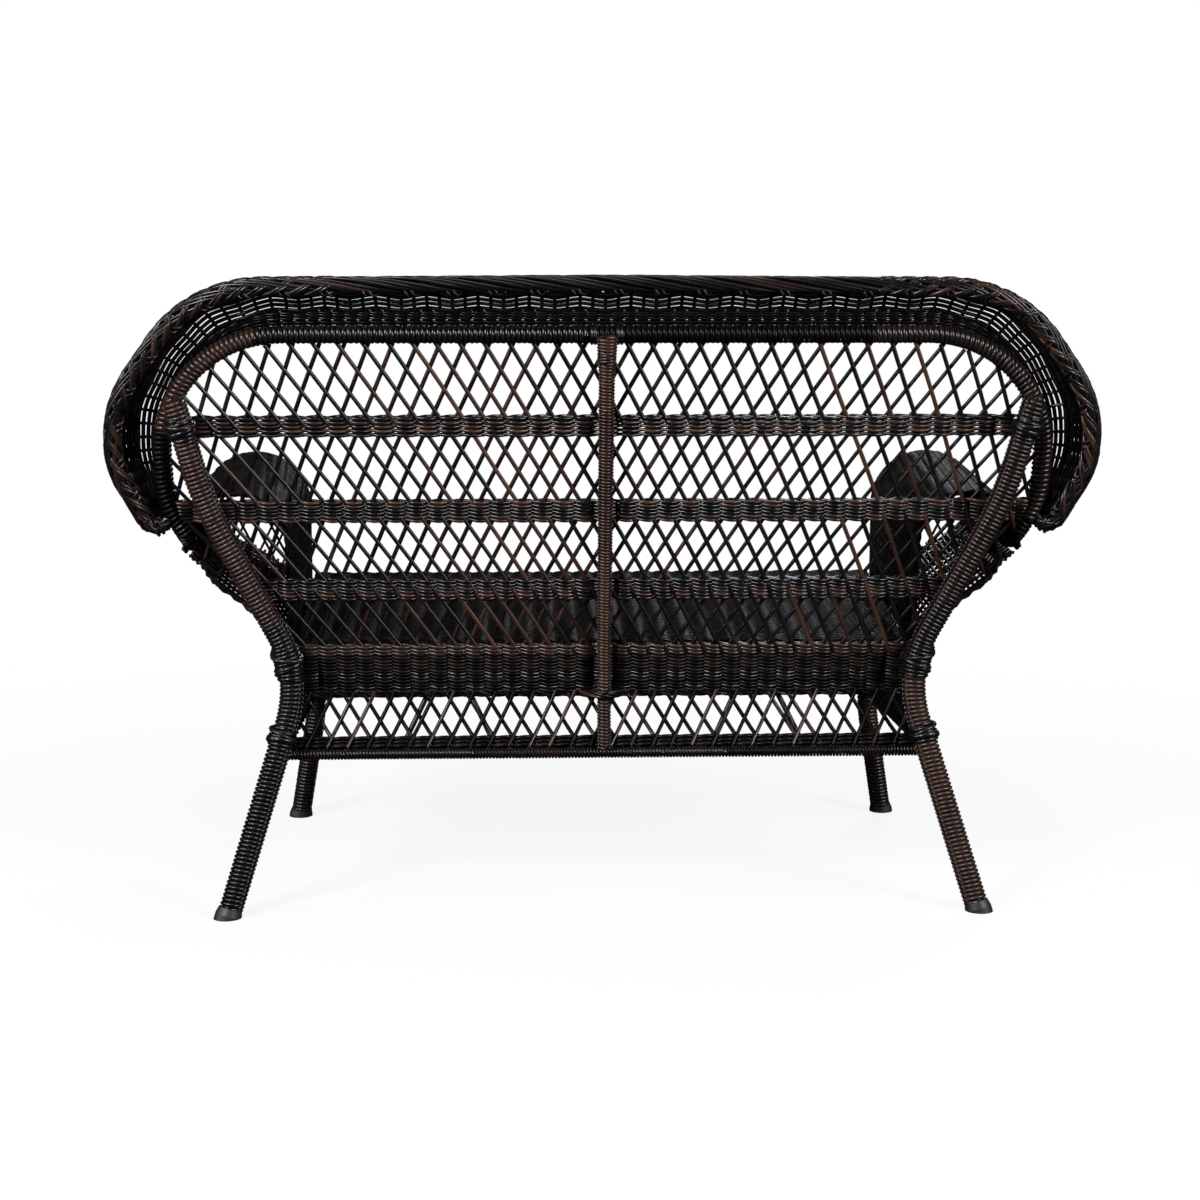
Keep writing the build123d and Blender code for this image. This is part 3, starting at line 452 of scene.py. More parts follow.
centre_turns, centre_beads = [], [[], []]
turn_points, turns_in_length = 12, 22
total = int(centre_rail.length / centre_pitch) * turn_points
for first in range(0, total, turns_in_length * turn_points):
    turns = []
    for k in range(first, min(total, first + turns_in_length * turn_points) + 1):
        reach, angle = k * centre_pitch / turn_points, 2 * pi * k / turn_points
        depth = (centre_half - centre_strand) * cos(angle)
        turns.append(centre_rail.at(reach, 0.0, 0.0) + rearward * depth
                     - across_way * (centre_width(reach) * sin(angle)))
    centre_turns.append(turns)
for k in range(int(centre_rail.length / centre_pitch * 4)):
    reach = k * centre_pitch / 4
    lift = (0.0014, 0.0004, -0.0012, 0.0004)[k % 4]
    for edge, sign in enumerate((1, -1)):
        middle = centre_rail.at(reach, 0.0, 0.0) + rearward * (0.0035 + lift)
        centre_beads[edge].append(middle + across_way * (sign * (centre_width(reach) + 0.001 + lift)))
core = [centre_rail.at(centre_rail.length * k / 30, 0.0, 0.0) for k in range(31)]
post_routes = [core] + centre_turns + centre_beads
post_widths = [2.6] + [1.0] * len(centre_turns) + [0.66] * 2
piece = strands("centre_post_winding", post_routes, centre_strand, (0.0, 0.0, 0.12, 0.50, 0.38), 43,
                widths=post_widths)
fasten(piece, "centre_post", "centre_post")
# The rope along the apron's foot rises over the post's surface in a hump.
crossing = min((centre_rail.at(centre_rail.length * k / 200, 0.0, 0.0) for k in range(201)),
               key=lambda point: abs(point.z - back(0.0, rope_height).z))
rope_depth = (crossing - back(0.0, rope_height)).dot(rearward) + centre_half + 0.0042


def hump(x):
    return 1.0 - (x / hump_reach) ** 2


rope_over_post = rope([-hump_reach + 0.004 * k for k in range(19)], 0.0034,
                      lambda x: rope_height + hump_height * hump(x), lambda x: rope_depth * hump(x))
post_turns = [[centre_rail.at(0.026 + 0.0042 * turn + 0.0042 * k / 16, 0.0, 0.0) + post_ring(k)
               for k in range(17)] for turn in range(3)]
bow_loops = [[back(x, bow_top) + bow_ring(k) for k in range(17)] for x in (-0.0205, -0.0160, 0.0160, 0.0205)]
piece = strands("centre_post_tie", post_turns + bow_loops + rope_over_post, tie_cord,
                (0.18, 0.22, 0.30, 0.22, 0.08), 44)
fasten(piece, "joint_binding", "centre_post_binding")

# Lattice of the back: two layers of round strand that cross and fan out as they rise, tied
# round the bow at the top and woven into the apron at the foot. It shows as four fields.
lattice_pitch, lattice_fan, lattice_strand = 0.0268, 0.23, 0.0031
outline_steps = ((0.030, 0.454), (0.088, 0.467), (0.163, 0.562), (0.262, 0.6062))
band_bottoms, band_height, apron_top, apron_bottom = (0.110, 0.230, 0.356), 0.032, 0.039, -0.037


def half_width(height):
    """Half the width of the woven back at a height up its slope."""
    if height <= outline_steps[0][0]:
        return outline_steps[0][1]
    for (low, narrow), (high, wide) in zip(outline_steps, outline_steps[1:]):
        if height <= high:
            return narrow + (wide - narrow) * (height - low) / (high - low)
    corner = 0.1615
    rise = max(0.0, height - (bow_top - bow_radius - corner))
    return outline_steps[-1][1] - corner + sqrt(max(0.0, corner ** 2 - rise ** 2))


def lattice_x(start, height):
    """Where an upright that starts at a point of the foot has got to at a height."""
    spread = lattice_fan + 0.03 * (start / 0.465) ** 2
    return start * (1.0 + spread * height / bow_top)


def lattice_lean(height):
    """How far a strand has moved sideways at a height, before the fan spreads it."""
    return 0.57 * height - 0.15 * height ** 2


def clipped(route, keep):
    """The unbroken stretches of a route whose points pass a test."""
    stretches, current = [], []
    for point, kept in zip(route, keep):
        if kept:
            current.append(point)
        elif current:
            stretches.append(current)
            current = []
    return [stretch for stretch in stretches + [current] if len(stretch) > 1]


field_edges = [apron_top - 0.014, *[bottom + band_height / 2 for bottom in band_bottoms], bow_top - 0.006]
field_names = ("seat", "lower", "upper", "top")
for field, low, high in zip(field_names, field_edges, field_edges[1:]):
    draw = random.Random(51)
    routes = []
    for layer in (1, -1):
        for k in range(-40, 41):
            shift, bow_out = draw.uniform(-0.0012, 0.0012), draw.uniform(-0.0012, 0.0012)
            steps = 2 + round((high - low) / 0.003)
            heights = [low + (high - low) * i / steps for i in range(steps + 1)]
            starts = [k * lattice_pitch + shift + layer * lattice_lean(h) for h in heights]
            route = [back(lattice_x(u, h) + bow_out * sin(pi * h / 0.12), h, layer * 0.0029)
                     for u, h in zip(starts, heights)]
            keep = [abs(p.x) < half_width(h) + 0.006 for p, h in zip(route, heights)]
            routes += [even(stretch, 0.012) for stretch in clipped(route, keep)]
    piece = strands(f"back_lattice_{field}_strands", routes, lattice_strand, mixed_shares, 52)
    fasten(piece, "lattice_strand", f"back_lattice_{field}")

# Bands of the back: rows of twined strand, two to a row, that grip the crossed strands. Each
# strand shows over one crossing and hides behind the next, so every row is a line of bulges.


def twine(surface, start, stop, height, column, lift, step, draw, twins=(0.0, pi), slant=0.0009):
    """The strands of one woven row: they bulge in turn, one column after another."""
    count = max(4, round((stop - start) / step))
    wander = draw.uniform(-0.0004, 0.0004)
    routes = []
    for turn in twins:
        route = []
        for k in range(count + 1):
            across = start + (stop - start) * k / count
            point, normal, upward = surface(across, height)
            wave = pi * across / column + turn
            bulge = lift * (cos(wave) + 0.075 * cos(3 * wave))
            route.append(point + normal * bulge + upward * (slant * sin(wave) + wander))
        routes.append(route)
    return routes


def back_surface(across, height):
    return back(across, height), rearward, up_slope


band_strand, band_shares = 0.0025, (0.36, 0.26, 0.20, 0.13, 0.05)
bands = (("lower", 6, 0.0053), ("middle", 6, 0.0054), ("upper", 5, 0.0062))
for (band, band_rows, row_pitch), low in zip(bands, band_bottoms):
    draw = random.Random(61)
    middle = low + band_height / 2
    column = lattice_x(lattice_pitch, middle)
    routes = []
    for row in range(band_rows):
        height = middle + (row - (band_rows - 1) / 2) * row_pitch
        reach = half_width(height) + 0.004
        routes += twine(back_surface, -reach, reach, height, column, 0.0058, 0.0054, draw)
    piece = strands(f"back_band_{band}_rows", routes, band_strand, band_shares, 62 + len(band))
    fasten(piece, "close_weave", f"back_band_{band}")

# Rear apron: fourteen close rows twined over upright stakes behind the seat, which makes ribbed
# columns. Its top rows are brown, and a rope of four cords is twisted along its lower edge.
apron_half, apron_rows, apron_strand = 0.451, 14, 0.0027
draw = random.Random(71)
stakes = [[back(k * lattice_pitch + lattice_pitch / 2, height) for height in (apron_bottom, apron_top)]
          for k in range(-17, 17)]
rows = []
for row in range(apron_rows):
    height = apron_bottom + 0.003 + (apron_top - apron_bottom - 0.006) * row / (apron_rows - 1)
    rows += twine(back_surface, -apron_half, apron_half, height, lattice_pitch, 0.0052, 0.0053, draw)
edging = rope([-apron_half + 0.0075 * k for k in range(121)], 0.0036,
              lambda x: apron_bottom - 0.002, lambda x: 0.001)
piece = strands("rear_apron_weave", stakes + rows[:-6] + edging, apron_strand, shaded_shares, 72)
fasten(piece, "close_weave", "rear_apron")
piece = strands("rear_apron_top_rows", rows[-6:], apron_strand, (0.0, 0.1, 0.3, 0.4, 0.2), 73)
fasten(piece, "close_weave")

# Seat frame and front legs: rails at the sides, front and rear, two bearers from front to
# back under the woven deck, and lower rails between the legs, all of them wound tube.
seat_tilt = radians(4.2)
seat_rear_y, seat_rear_z, seat_depth = 0.1815, 0.383, 0.513
seat_rear_half, seat_front_half = 0.444, 0.468
deck_thickness, rib_rise, rib_pitch = 0.010, 0.0045, 0.0334
seat_rail_radius, bearer_radius = 0.011, 0.009
front_leg_x, front_leg_y, front_leg_radius = 0.466, -0.300, 0.017
rail_drop = deck_thickness + clearance + seat_rail_radius
lower_rail_z, lower_rail_radius = 0.223, 0.0085
fine_strand, fine_pitch = 0.0024, 0.0048


def seat(x, y, up=0.0):
    """A point of the seat: across, as far back as measured, and up from its tilted top."""
    forward = (seat_rear_y - y + up * sin(seat_tilt)) / cos(seat_tilt)
    return Vector((x, y, seat_rear_z + forward * sin(seat_tilt) + up * cos(seat_tilt)))


rear_rail_y = seat_rear_y - 0.036
side_rail = [seat(front_leg_x, front_leg_y, -rail_drop), seat(seat_rear_half, 0.190, -rail_drop)]
bearer_x = seat_rear_half * 0.51
bearer = [seat(bearer_x, front_leg_y, -rail_drop), seat(bearer_x, rear_rail_y, -rail_drop)]
deck_tubes = {"seat_rail": (side_rail, seat_rail_radius), "seat_bearer": (bearer, bearer_radius)}
for hand, sign in hands:
    for node, (route, tube_radius) in deck_tubes.items():
        piece = wound_tube(f"{node}_winding_{hand}", route, [], tube_radius, rail_strand, rail_pitch,
                           dark_shares, 81 + sign, side=up_way, sign=sign, turn_points=9)
        fasten(piece, "bound_tube", f"{node}_{hand}")
cross_rails = {
    "seat_rail_front": (seat(front_leg_x, front_leg_y, -rail_drop), seat_rail_radius, ()),
    "seat_rail_rear": (seat(seat_rear_half, rear_rail_y, -rail_drop), seat_rail_radius, ()),
    "lower_rail_front": (Vector((front_leg_x - 0.008, -0.312, lower_rail_z)), lower_rail_radius, ()),
    "lower_rail_rear": (Vector((0.474, 0.200, lower_rail_z)), lower_rail_radius, (-0.3 * pi, -0.5 * pi)),
}
for node, (end, tube_radius, seams) in cross_rails.items():
    piece = wound_tube(f"{node}_winding", [end, flip(end)], [], tube_radius, fine_strand, fine_pitch,
                       bow_shares, 85, seams=seams, turn_points=9)
    fasten(piece, "bound_tube", node)
lower_side = [Vector((front_leg_x, front_leg_y + 0.016, lower_rail_z)), Vector((0.479, 0.212, lower_rail_z))]
front_foot, front_knee = Vector((0.500, -0.338, 0.0)), Vector((front_leg_x, front_leg_y, 0.190))
front_run = (front_foot - front_knee).normalized()
front_leg_top = seat(0.0, front_leg_y + front_leg_radius, -deck_thickness).z
front_leg_route = [Vector((front_leg_x, front_leg_y, front_leg_top)), front_knee,
                   front_foot - front_run * glide_height]
for hand, sign in hands:
    piece = wound_tube(f"lower_rail_winding_{hand}", lower_side, [], lower_rail_radius, fine_strand,
                       fine_pitch, bow_shares, 87 + sign, side=up_way, sign=sign, turn_points=9)
    fasten(piece, "bound_tube", f"lower_rail_{hand}")
    piece = wound_tube(f"front_leg_winding_{hand}", front_leg_route, [0.250], front_leg_radius, leg_strand,
                       leg_pitch, brown_shares, 91 + sign, seams=(0.9 * pi,), sign=sign)
    fasten(piece, "bound_tube", f"front_leg_{hand}")

# Braces: two upside-down Vs of bare black rod behind the rear skirt, welded to the rails.
# They keep their own shape and get a coat of satin black paint.
brace_paint = resin("brace_paint", (0.009, 0.009, 0.010), (0.014, 0.013, 0.014), 0.42)
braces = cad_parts["skirt_braces"]
braces.data.materials.clear()
braces.data.materials.append(brace_paint)

# Seat deck: close rows across, woven over ribs that run from back to front. The rows go over
# the front edge, so it is scalloped.
deck_strand, deck_pitch = 0.0027, 0.0052
deck_edge, deck_edge_radius = seat_depth - 0.012, 0.009


def deck_surface(across, reach):
    """A point of the deck at a distance forward, turned down over its front edge at the end."""
    bend = min(max(0.0, reach - deck_edge) / deck_edge_radius, 0.5 * pi)
    forward = min(reach, deck_edge) + deck_edge_radius * sin(bend)
    drop = deck_edge_radius * (1.0 - cos(bend)) + max(0.0, reach - deck_edge - deck_edge_radius * 0.5 * pi)
    tilted = Vector((0.0, -cos(seat_tilt), sin(seat_tilt)))
    level = Vector((0.0, sin(seat_tilt), cos(seat_tilt)))
    start = Vector((0.0, seat_rear_y, seat_rear_z))
    normal = level * cos(bend) + tilted * sin(bend)
    spot = 2.0 * (across / rib_pitch % 1.0) - 1.0
    point = start + across_way * across + tilted * forward - level * (drop + 0.0026)
    return point + normal * (rib_rise * (1.0 - spot * spot)), normal, tilted * cos(bend) - level * sin(bend)


draw = random.Random(101)
deck_rows, deck_ribs = [], []
for row in range(int((seat_depth + 0.010) / deck_pitch)):
    reach = 0.003 + row * deck_pitch
    side = seat_rear_half + (seat_front_half - seat_rear_half) * reach / seat_depth - 0.002
    deck_rows += twine(deck_surface, -side, side, reach, rib_pitch / 2, 0.0009, 0.0056, draw,
                       twins=(pi * (row % 2),), slant=0.0)
for k in range(-14, 14):
    spots = [deck_surface((k + 0.5) * rib_pitch * 0.98, 0.02 * i) for i in range(26)]
    deck_ribs.append([point - normal * rib_rise for point, normal, _ in spots])
half = len(deck_rows) // 2
piece = strands("seat_deck_weave_rear", deck_rows[:half] + deck_ribs, deck_strand, shaded_shares, 102)
fasten(piece, "close_weave", "seat_deck")
piece = strands("seat_deck_weave_front", deck_rows[half:], deck_strand, shaded_shares, 103)
fasten(piece, "close_weave")

# Skirts: an open lattice under each side of the seat, between the apron and the lower rail,
# with three twined rows along its foot.
skirt_top_z, skirt_foot_z = 0.309, lower_rail_z + lower_rail_radius + clearance
skirt_pitch, skirt_leans, skirt_strand = 0.0296, {1: 0.61, -1: -0.483}, 0.0030
skirt_planes = {
    "skirt_rear": ((0.0, 0.200), (0.0, 0.171), across_way, -0.462, 0.462),
    "skirt_front": ((0.0, -0.3233), (0.0, -0.3233), across_way, -0.480, 0.480),
    "skirt_side_left": ((front_leg_x, 0.0), (front_leg_x, 0.0), rear_way, -0.282, 0.188),
    "skirt_side_right": ((-front_leg_x, 0.0), (-front_leg_x, 0.0), rear_way, -0.282, 0.188),
}
for node, (foot_place, head_place, along, start, stop) in skirt_planes.items():
    foot, head = Vector((*foot_place, skirt_foot_z)), Vector((*head_place, skirt_top_z))
    rise = head - foot
    upward, height = rise.normalized(), rise.length
    outward = along.cross(upward)
    draw = random.Random(111)
    routes = []
    for layer in (1, -1):
        for k in range(-20, 21):
            shift = draw.uniform(-0.0015, 0.0015)
            rises = [height * i / 6 for i in range(7)]
            spots = [k * skirt_pitch + shift + skirt_leans[layer] * (r - 0.5 * height) for r in rises]
            spots = [spot + (start + stop) / 2 for spot in spots]
            tucks = [max(0.0, 1.0 - r / 0.024) + max(0.0, 1.0 - (height - r) / 0.015) for r in rises]
            route = [foot + along * spot + upward * r + outward * (layer * 0.0027 - 0.0055 * tuck)
                     for spot, r, tuck in zip(spots, rises, tucks)]
            routes += clipped(route, [start < spot < stop for spot in spots])

    def skirt_surface(across, r, foot=foot, along=along, upward=upward, outward=outward):
        return foot + along * across + upward * r, outward, upward

    for row in range(3):
        routes += twine(skirt_surface, start, stop, 0.0026 + 0.0056 * row, skirt_pitch, 0.0050, 0.0058, draw)
    if node != "skirt_rear":
        routes += [[foot + along * (end + cord) + upward * (height * i / 4) for i in range(5)]
                   for end in (start, stop) for cord in (-0.0025, 0.0025)]
    piece = strands(f"{node}_strands", routes, skirt_strand, shaded_skirt_shares, 112)
    fasten(piece, "lattice_strand", node)

# Front and side aprons: close rows over upright stakes, between the deck and the skirts. The
# side aprons get lower towards the back, as the seat slopes down there.
side_apron_strand = 0.0028
apron_planes = {
    "front_apron": ((0.0, -0.3203), across_way, -0.480, 0.480, 0.094, 0.094),
    "side_apron_left": ((front_leg_x, 0.0), rear_way, -0.282, 0.165, 0.066, 0.033),
    "side_apron_right": ((-front_leg_x, 0.0), rear_way, -0.282, 0.165, 0.066, 0.033),
}
for node, (foot_place, along, start, stop, start_height, stop_height) in apron_planes.items():
    foot, outward = Vector((*foot_place, skirt_top_z)), along.cross(up_way)

    def apron_surface(across, share, foot=foot, along=along, outward=outward, start=start, stop=stop,
                      start_height=start_height, stop_height=stop_height):
        height = start_height + (stop_height - start_height) * (across - start) / (stop - start)
        return foot + along * across + up_way * (share * height), outward, up_way

    draw = random.Random(121)
    count = round(max(start_height, stop_height) / 0.0056)
    routes = []
    for row in range(count):
        routes += twine(apron_surface, start, stop, (row + 0.5) / count, rib_pitch, 0.0030, 0.0075, draw,
                        twins=(pi * (row % 2),))
    for k in range(-15, 16):
        across = (start + stop) / 2 + (k + 0.5) * rib_pitch
        if start < across < stop:
            routes.append([apron_surface(across, share)[0] for share in (0.0, 0.5, 1.0)])
    routes += [[apron_surface(end + cord, share)[0] for share in (0.0, 0.5, 1.0)]
               for end in (start, stop) for cord in (-0.0025, 0.0025)]
    piece = strands(f"{node}_weave", routes, side_apron_strand, shaded_shares, 122)
    fasten(piece, "close_weave", node)

# Arms: a rolled shell over each side of the seat. Stakes run from the back to the front, and
# close rows go up its inner side, over the top and down to the arm rail, where two cords are
# twisted into its lip.
arm_front_y, arm_rear_y, arm_front_inner_x, arm_rear_inner_x = -0.325, 0.260, 0.472, 0.448
arm_spring_z, arm_shell, arm_lip = arm_rail_z + 0.0005, 0.006, 0.010
arm_bottom_z = seat(0.0, arm_front_y, -deck_thickness).z


def arch(y, share):
    """A point of the arm's shell: share goes from 0 at its inner foot to 1 at its outer lip."""
    forward = (arm_rear_y - y) / (arm_rear_y - arm_front_y)
    inner = arm_rear_inner_x + (arm_front_inner_x - arm_rear_inner_x) * forward + arm_shell / 2
    outer = arm_rear_outer_x + (arm_front_outer_x - arm_rear_outer_x) * forward - arm_shell / 2
    radius = (outer - inner) / 2
    foot = seat(0.0, y, -deck_thickness).z
    wall, roll = arm_spring_z - foot, pi * radius
    length = share * (wall + roll + arm_lip)
    if length < wall:
        return Vector((inner, y, foot + length)), -across_way, up_way
    if length < wall + roll:
        angle = pi - (length - wall) / radius
        normal = Vector((cos(angle), 0.0, sin(angle)))
        upward = Vector((sin(angle), 0.0, -cos(angle)))
        return Vector((inner + radius, y, arm_spring_z)) + normal * radius, normal, upward
    drop = length - wall - roll
    return Vector((outer, y, arm_spring_z - drop)), across_way, -up_way


def arch_surface(share, y):
    return arch(y, share)


def back_face_y(z):
    """Where the front of the woven back is at a height above the floor."""
    return back_base.y + (z - back_base.z) * tan(back_lean) - 0.0055 / cos(back_lean)


def before_back(route):
    """The stretches of a route that lie in front of the woven back."""
    return clipped(route, [point.y < back_face_y(point.z) for point in route])


arm_rows, arm_columns, arm_strand = 104, 26, 0.0030
arm_weave_length, arm_lip_length = 0.250 - arm_front_y, 0.238 - arm_front_y
for hand, sign in hands:
    draw = random.Random(131)
    routes = []
    for row in range(arm_rows):
        y = arm_front_y + 0.003 + arm_weave_length * row / arm_rows
        for route in twine(arch_surface, 0.0, 1.0, y, 1.0 / arm_columns, 0.0017, 0.0105, draw,
                           twins=(pi * (row % 2),), slant=0.0):
            routes += before_back(route)
    for k in range(arm_columns):
        routes += before_back([arch(arm_front_y + arm_weave_length * i / 20, (k + 0.5) / arm_columns)[0]
                               for i in range(21)])
    for turn in (0.0, pi):
        twists = [Vector((cos(0.7 * i + turn), 0.0, sin(0.7 * i + turn))) for i in range(91)]
        routes += before_back([arch(arm_front_y + arm_lip_length * i / 90, 1.0)[0] + twist * 0.0028
                               + up_way * 0.001 for i, twist in enumerate(twists)])
    piece = strands(f"arm_roll_weave_{hand}", handed(routes, sign), arm_strand, shaded_shares, 132 + sign)
    fasten(piece, "close_weave", f"arm_roll_{hand}")

# Arm fronts: a wound hoop carries the front of each arm. Over it lie a close border woven
# round the outline, a small lattice inside it, and a braid round the edge.
cheek_z, teardrop_foot_z = 0.478, 0.368


def teardrop(inset, step=0.006):
    """The outline of the arm's front, drawn in from its edge, from inner foot to outer foot."""
    inner, outer = arm_front_inner_x + inset, arm_front_outer_x - inset
    crown = arm_spring_z + (arm_front_outer_x - arm_front_inner_x) / 2 - inset
    round_radius = (outer - inner) / 2 - clearance
    corners = [(inner, arm_bottom_z + clearance), (inner, crown), (outer, crown), (outer, cheek_z + inset),
               (front_leg_x + front_leg_radius + inset, teardrop_foot_z + inset)]
    return rounded([Vector((x, 0.0, z)) for x, z in corners], [round_radius, round_radius, 0.055], step)


def inside(point, outline):
    """Whether a point of an upright plane lies inside a closed outline."""
    crossed = False
    for a, b in zip(outline, outline[1:] + outline[:1]):
        if (a.z > point.z) != (b.z > point.z):
            if point.x < a.x + (b.x - a.x) * (point.z - a.z) / (b.z - a.z):
                crossed = not crossed
    return crossed


hoop_inset = arm_shell + hoop_radius + 0.0018
hoop_line = [point + rear_way * hoop_y for point in teardrop(hoop_inset, 0.01)]
hoop_strand, hoop_pitch, front_strand = 0.0026, 0.0052, 0.0023
panel_y, panel_middle = arm_front_y - 0.0028, (arm_front_inner_x + arm_front_outer_x) / 2
panel_outline = teardrop(0.018)
for hand, sign in hands:
    piece = wound_tube(f"arm_hoop_winding_{hand}", hoop_line, [], hoop_radius, hoop_strand, hoop_pitch,
                       dark_shares, 141, sign=sign, turn_points=10)
    fasten(piece, "bound_tube", f"arm_hoop_{hand}")
    routes = []
    for ring in range(5):
        line = even(teardrop(0.003 + 0.0046 * ring), 0.0062)
        for turn in (0.0, pi):
            routes.append([point + rear_way * (panel_y + 0.0024 * cos(pi * k / 2.8 + turn))
                           for k, point in enumerate(line)])
    outer_line, inner_line = even(teardrop(0.002), 0.0174), even(teardrop(0.024), 0.0174)
    for k, point in enumerate(outer_line):
        end = inner_line[round(k / (len(outer_line) - 1) * (len(inner_line) - 1))]
        routes.append([point + rear_way * panel_y, end + rear_way * panel_y])
    for layer in (1, -1):
        for k in range(-14, 15):
            heights = [0.40 + 0.008 * i for i in range(30)]
            route = [Vector((panel_middle + k * 0.024 + layer * 0.5 * (z - 0.5), 0.0, z)) for z in heights]
            keep = [inside(point, panel_outline) for point in route]
            routes += clipped([point + rear_way * (panel_y + layer * 0.0022) for point in route], keep)
    piece = strands(f"arm_front_weave_{hand}", handed(routes, sign), front_strand, mixed_shares, 143)
    fasten(piece, "close_weave", f"arm_front_{hand}")

# Outer sides of the arms: from the arm rail a curved panel draws in to the seat rail. It opens
# as a lattice under the rail, and close rows run along it below.
side_shares = ((0.0, 0.0), (0.12, 0.08), (0.25, 0.25), (0.58, 0.47), (0.8, 0.68), (1.0, 1.0))
side_top_z = arm_rail_z - bow_radius - 0.004


def side_panel(y, share):
    """A point of the side panel: share goes from 0 at the arm rail to 1 at the seat rail."""
    forward = (arm_rear_y - y) / (arm_rear_y - hoop_y)
    top = Vector((bow_end_x + (arm_rail_front_x - bow_end_x) * forward, y, side_top_z))
    foot_x = seat_rear_half + (front_leg_x - seat_rear_half) * forward + seat_rail_radius + 0.004
    foot = Vector((foot_x, y, seat(0.0, y, -rail_drop).z))
    spot = share * (len(side_shares) - 1)
    k = min(int(spot), len(side_shares) - 2)
    (across_a, down_a), (across_b, down_b) = side_shares[k], side_shares[k + 1]
    blend = spot - k
    across, down = across_a + (across_b - across_a) * blend, down_a + (down_b - down_a) * blend
    return Vector((top.x + (foot.x - top.x) * across, y, top.z + (foot.z - top.z) * down))


def side_surface(across, share):
    point, above = side_panel(-across, share), side_panel(-across, max(0.0, share - 0.05))
    downward = (side_panel(-across, min(1.0, share + 0.05)) - above).normalized()
    return point, downward.cross(rear_way), downward


def side_rear(share):
    """Where the side panel ends at the woven back, at a share of the way down."""
    return min(back_face_y(side_panel(0.1, share).z), 0.25)


side_rows, side_strand, side_front_y = 24, 0.0027, hoop_y + hoop_radius
for hand, sign in hands:
    draw = random.Random(151)
    routes = []
    for row in range(side_rows):
        share = 0.30 + 0.69 * row / (side_rows - 1)
        routes += twine(side_surface, 0.001 - side_rear(share), -side_front_y, share, rib_pitch, 0.0014,
                        0.0078, draw, twins=(pi * (row % 2),), slant=0.0)
    for layer in (1, -1):
        for k in range(-22, 23):
            shares_down = [0.35 * i / 6 for i in range(7)]
            route = [side_surface(k * 0.026 + layer * 0.055 * share, share)[0] for share in shares_down]
            routes += clipped(route, [side_front_y < point.y < back_face_y(point.z) for point in route])
    for k in range(18):
        y = side_front_y + (k + 0.5) * rib_pitch
        routes += before_back([side_surface(-y, 0.28 + 0.72 * i / 12)[0] for i in range(13)])
    for cord in (-1, 1):
        edge = [side_panel(side_rear(i / 30) - 0.002, i / 30) for i in range(31)]
        routes.append([point + Vector((0.0024 * cos(1.3 * i), 0.0015, 0.0024 * sin(1.3 * i))) * cord
                       for i, point in enumerate(edge)])
    piece = strands(f"arm_side_weave_{hand}", handed(routes, sign), side_strand, mixed_shares, 152)
    fasten(piece, "close_weave", f"arm_side_{hand}")

# Collar: the lattice strands carried over the bow and rolled back as stakes, with rows woven
# over them: close beside the bow, open near the rim. Down the sides the rows close up against
# the bow, and close rows fill the rest.
collar_radius = 0.080
rim_behind, rim_radius = 0.017, 0.012
rim_side = [(bow_half_width + 0.010, bow_turn_height - 0.059, 0.008),
            (bow_half_width + 0.063, bow_turn_height + 0.053, rim_behind),
            (bow_half_width + 0.064, bow_turn_height + 0.143, rim_behind),
            (bow_half_width - 0.060, bow_top + 0.071, rim_behind)]
rim_side_radii = [0.130, 0.180, 0.190]
rim_half = [back(*point) for point in rim_side]
rim_crown, rim_crown_radius, rim_tip_radius = back(0.0, bow_top + 0.075, rim_behind), 3.0, 0.016
rim_corners = rim_half + [rim_crown] + [flip(point) for point in reversed(rim_half)]
rim_radii = rim_side_radii + [rim_crown_radius] + rim_side_radii[::-1]
rim_open = rounded(rim_corners, rim_radii)
bow_rail = Rail(rounded(bow_route, bow_radii), rearward)
# Each end of the rim turns in and tucks in beside the bow.
bow_foot = bow_rail.at(0.020, 0.0, 0.0)
rim_tip = bow_foot + (rim_half[0] - bow_foot).normalized() * (bow_radius + 0.002)
rim_line = rounded([rim_tip] + rim_corners + [flip(rim_tip)], [rim_tip_radius] + rim_radii + [rim_tip_radius])


def collar_gap(reach):
    """How far out from the bow the collar meets the rim there, and how far behind it."""
    centre = bow_rail.at(reach, 0.0, 0.0)
    across, behind = min(((point - centre - rearward * (point - centre).dot(rearward)).length,
                          (point - centre).dot(rearward)) for point in rim_open[::3])
    return min(0.066, max(0.012, across - 0.006)), behind


gap_places = 160
gaps = [collar_gap(bow_rail.length * k / gap_places) for k in range(gap_places + 1)]


def collar(reach, share):
    """A point of the collar: share goes from 0 at the bow to 1 at the rim."""
    spot = min(max(reach / bow_rail.length, 0.0), 0.9999) * gap_places
    k = int(spot)
    gap, behind = (low + (high - low) * (spot - k) for low, high in zip(gaps[k], gaps[k + 1]))
    sine = share * gap / collar_radius
    centre = bow_rail.at(reach, 0.0, 0.0)
    outward = (centre - bow_rail.at(reach, 0.01, 0.5 * pi)).normalized()
    depth, edge_depth = (collar_radius * (1.0 - sqrt(1.0 - turned * turned)) - bow_radius - 0.002
                         for turned in (sine, gap / collar_radius))
    depth += max(0.0, behind - edge_depth) * 0.8 * max(0.0, share) ** 2
    normal = rearward * sqrt(1.0 - sine * sine) - outward * sine
    return centre + outward * (share * gap) + rearward * depth, normal, outward


def drift(reach):
    """How far the rows have moved toward the bow: 0 over the top, 1 at the collar's ends."""
    part = min(max((0.42 - min(reach, bow_rail.length - reach)) / 0.32, 0.0), 1.0)
    return part * part * (3.0 - 2.0 * part)


def collar_stake(reach):
    return [collar(reach, i / 8)[0] for i in range(9)]


def bow_row(reach, share):
    """A close row, which is pressed up against the bow at the collar's ends."""
    return collar(reach, share * (1.0 - 0.85 * drift(reach)))


